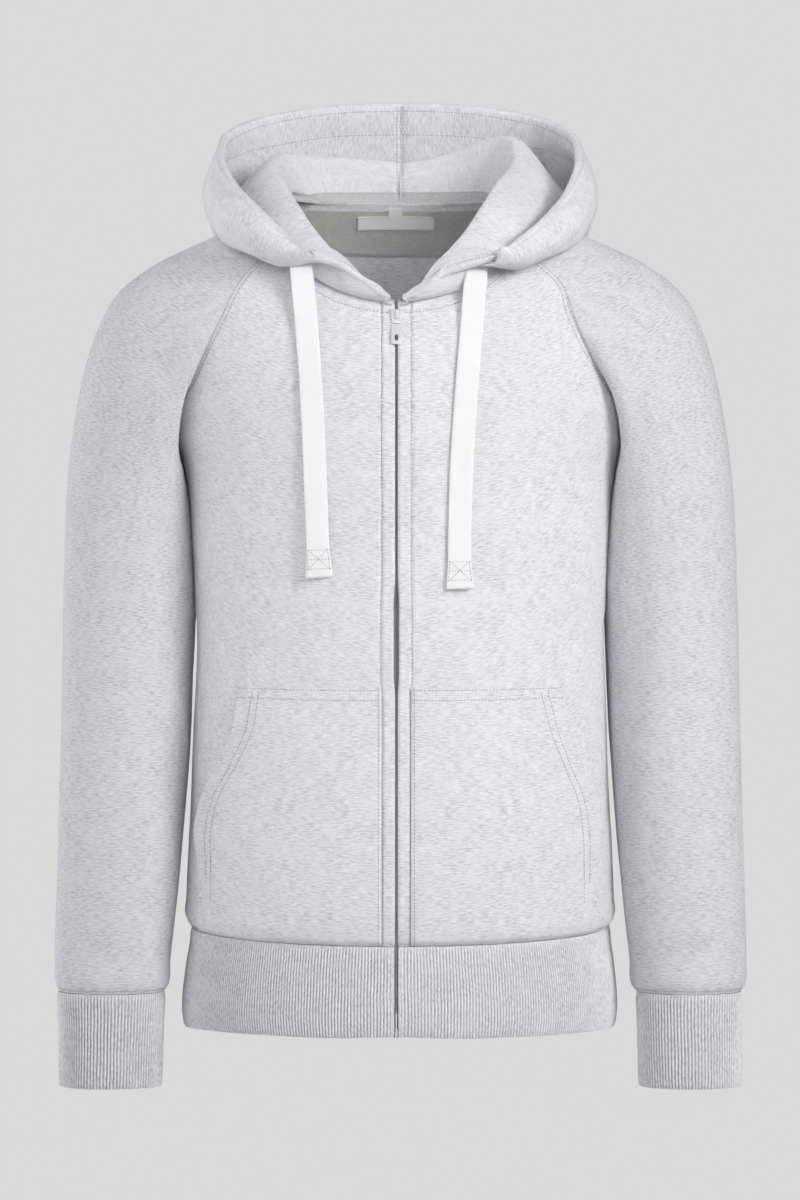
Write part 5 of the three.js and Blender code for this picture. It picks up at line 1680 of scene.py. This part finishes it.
def bevelled(name, outline, hole, depth, bevel, origin, slope):  # an outline in x and z, given a thickness
    work = bmesh.new()
    rings = [outline] + ([hole] if hole is not None else [])
    for ring in rings:
        loop = [work.verts.new((x, 0, z)) for x, z in ring]
        for k in range(len(loop)):
            work.edges.new((loop[k], loop[(k + 1) % len(loop)]))
    filled = bmesh.ops.triangle_fill(work, use_beauty=True, use_dissolve=True, edges=work.edges[:])
    faces = [f for f in filled["geom"] if isinstance(f, bmesh.types.BMFace)]
    pushed = bmesh.ops.extrude_face_region(work, geom=faces)
    moved = [v for v in pushed["geom"] if isinstance(v, bmesh.types.BMVert)]
    bmesh.ops.translate(work, verts=moved, vec=(0, -depth, 0))
    bmesh.ops.recalc_face_normals(work, faces=work.faces[:])
    borders = [e for e in work.edges if e.calc_face_angle(0) > math.radians(40)
               and abs(e.verts[0].co.y - e.verts[1].co.y) < 1e-5]
    bmesh.ops.bevel(work, geom=borders, offset=bevel, segments=3, affect="EDGES", profile=0.5)
    tilt = math.radians(slope)
    for vert in work.verts:
        x, y, z = vert.co
        vert.co = Vector((x + origin[0], y * math.cos(tilt) + z * math.sin(tilt) + origin[1],
                          z * math.cos(tilt) - y * math.sin(tilt) + origin[2])) * 0.001
    mesh = bpy.data.meshes.new(name)
    work.to_mesh(mesh)
    work.free()
    mesh.materials.append(finish["metal"])
    mesh.polygons.foreach_set("use_smooth", [True] * len(mesh.polygons))
    mesh.set_sharp_from_angle(angle=math.radians(40))
    made = bpy.data.objects.new(name, mesh)
    scene.collection.objects.link(made)
    return made


def makeZipParts():
    w, h = zipParts["width"], zipParts["height"]
    x, z = zipParts["sliderPlace"]
    slope = zipParts["slope"]
    outline = [(-w * 0.3, -h / 2), (w * 0.3, -h / 2), (w * 0.42, -h * 0.2), (w / 2, h * 0.15),
               (w / 2, h * 0.42), (w * 0.42, h / 2), (w * 0.2, h / 2), (0, h * 0.22), (-w * 0.2, h / 2),
               (-w * 0.42, h / 2), (-w / 2, h * 0.42), (-w / 2, h * 0.15), (-w * 0.42, -h * 0.2)]
    plate = bevelled("zipSlider", outline, None, 2.3, 0.5, (x, zipParts["sliderY"], z), slope)
    declare(plate, "zip_slider")
    crownSide = [(-1.4, -h * 0.22), (1.4, -h * 0.22), (1.5, h * 0.3), (0.8, h * 0.42), (-0.8, h * 0.42),
                 (-1.5, h * 0.3)]
    crownPlace = (x, zipParts["sliderY"] - 2.2, z + 0.4)
    crown = bevelled("sliderCrown", crownSide, None, 1.5, 0.45, crownPlace, slope)
    declare(crown, None)
    pw, length = zipParts["pullWidth"], zipParts["pullLength"]
    edge = [(-pw * 0.28, 0), (pw * 0.28, 0), (pw * 0.42, -length * 0.12), (pw / 2, -length * 0.3),
            (pw / 2, -length * 0.85), (pw * 0.44, -length * 0.95), (pw * 0.3, -length), (-pw * 0.3, -length),
            (-pw * 0.44, -length * 0.95), (-pw / 2, -length * 0.85), (-pw / 2, -length * 0.3),
            (-pw * 0.42, -length * 0.12)]
    hole = [(pw * 0.2 * math.cos(a), length * (0.16 * math.sin(a) - 0.66))
            for a in steps(0, 2 * math.pi, 20)[:-1]]
    hinge = zipParts["pullHinge"]
    pull = bevelled("zipPull", edge, hole, zipParts["pullThickness"], 0.35, (x, hinge[0], hinge[1]), slope)
    declare(pull, "zip_pull", "zip_pull")
    front = float(column(torso, "z", "front", body["hemBottom"] + 4))
    stop = bevelled("zipRetainer", [(-1.2, -4), (1.2, -4), (1.2, 4), (-1.2, 4)], None, 2.2, 0.4,
                    (x, -front + 2.4, body["hemBottom"] + 4.2), 0)
    declare(stop, "zip_retainer")


makeZipParts()
sew("neckStitches", neckLines, pitch=2.6, half=1.0, thread=0.28)
print("zip parts and neck stitches made")


def makeFloor():
    material, tree, shader = newMaterial("paleFloor")
    speck = node(tree, "ShaderNodeTexNoise")
    speck.inputs["Scale"].default_value = 40
    place = node(tree, "ShaderNodeTexCoord")
    tint = node(tree, "ShaderNodeMix", data_type="RGBA")
    tint.inputs[6].default_value = (0.74, 0.74, 0.74, 1)
    tint.inputs[7].default_value = (0.78, 0.78, 0.78, 1)
    tree.links.new(place.outputs["Object"], speck.inputs["Vector"])
    tree.links.new(speck.outputs["Fac"], tint.inputs["Factor"])
    tree.links.new(tint.outputs[2], shader.inputs["Base Color"])
    shader.inputs["Roughness"].default_value = 0.9
    rounds = steps(0, 2 * math.pi, 96)[:-1]
    mesh = bpy.data.meshes.new("floor")
    ring = [(math.cos(a) * studio["floorRadius"], math.sin(a) * studio["floorRadius"], studio["floorHeight"])
            for a in rounds]
    mesh.from_pydata(ring, [], [list(range(len(ring)))])
    mesh.materials.append(material)
    floor = bpy.data.objects.new("floor", mesh)
    scene.collection.objects.link(floor)
    floor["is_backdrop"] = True


makeFloor()
triangles = 0
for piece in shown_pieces():
    count = sum(len(p.vertices) - 2 for p in piece.data.polygons)
    triangles += count
    if count > 60000:
        print("piece", piece.name, count)
print("triangles in all:", triangles)
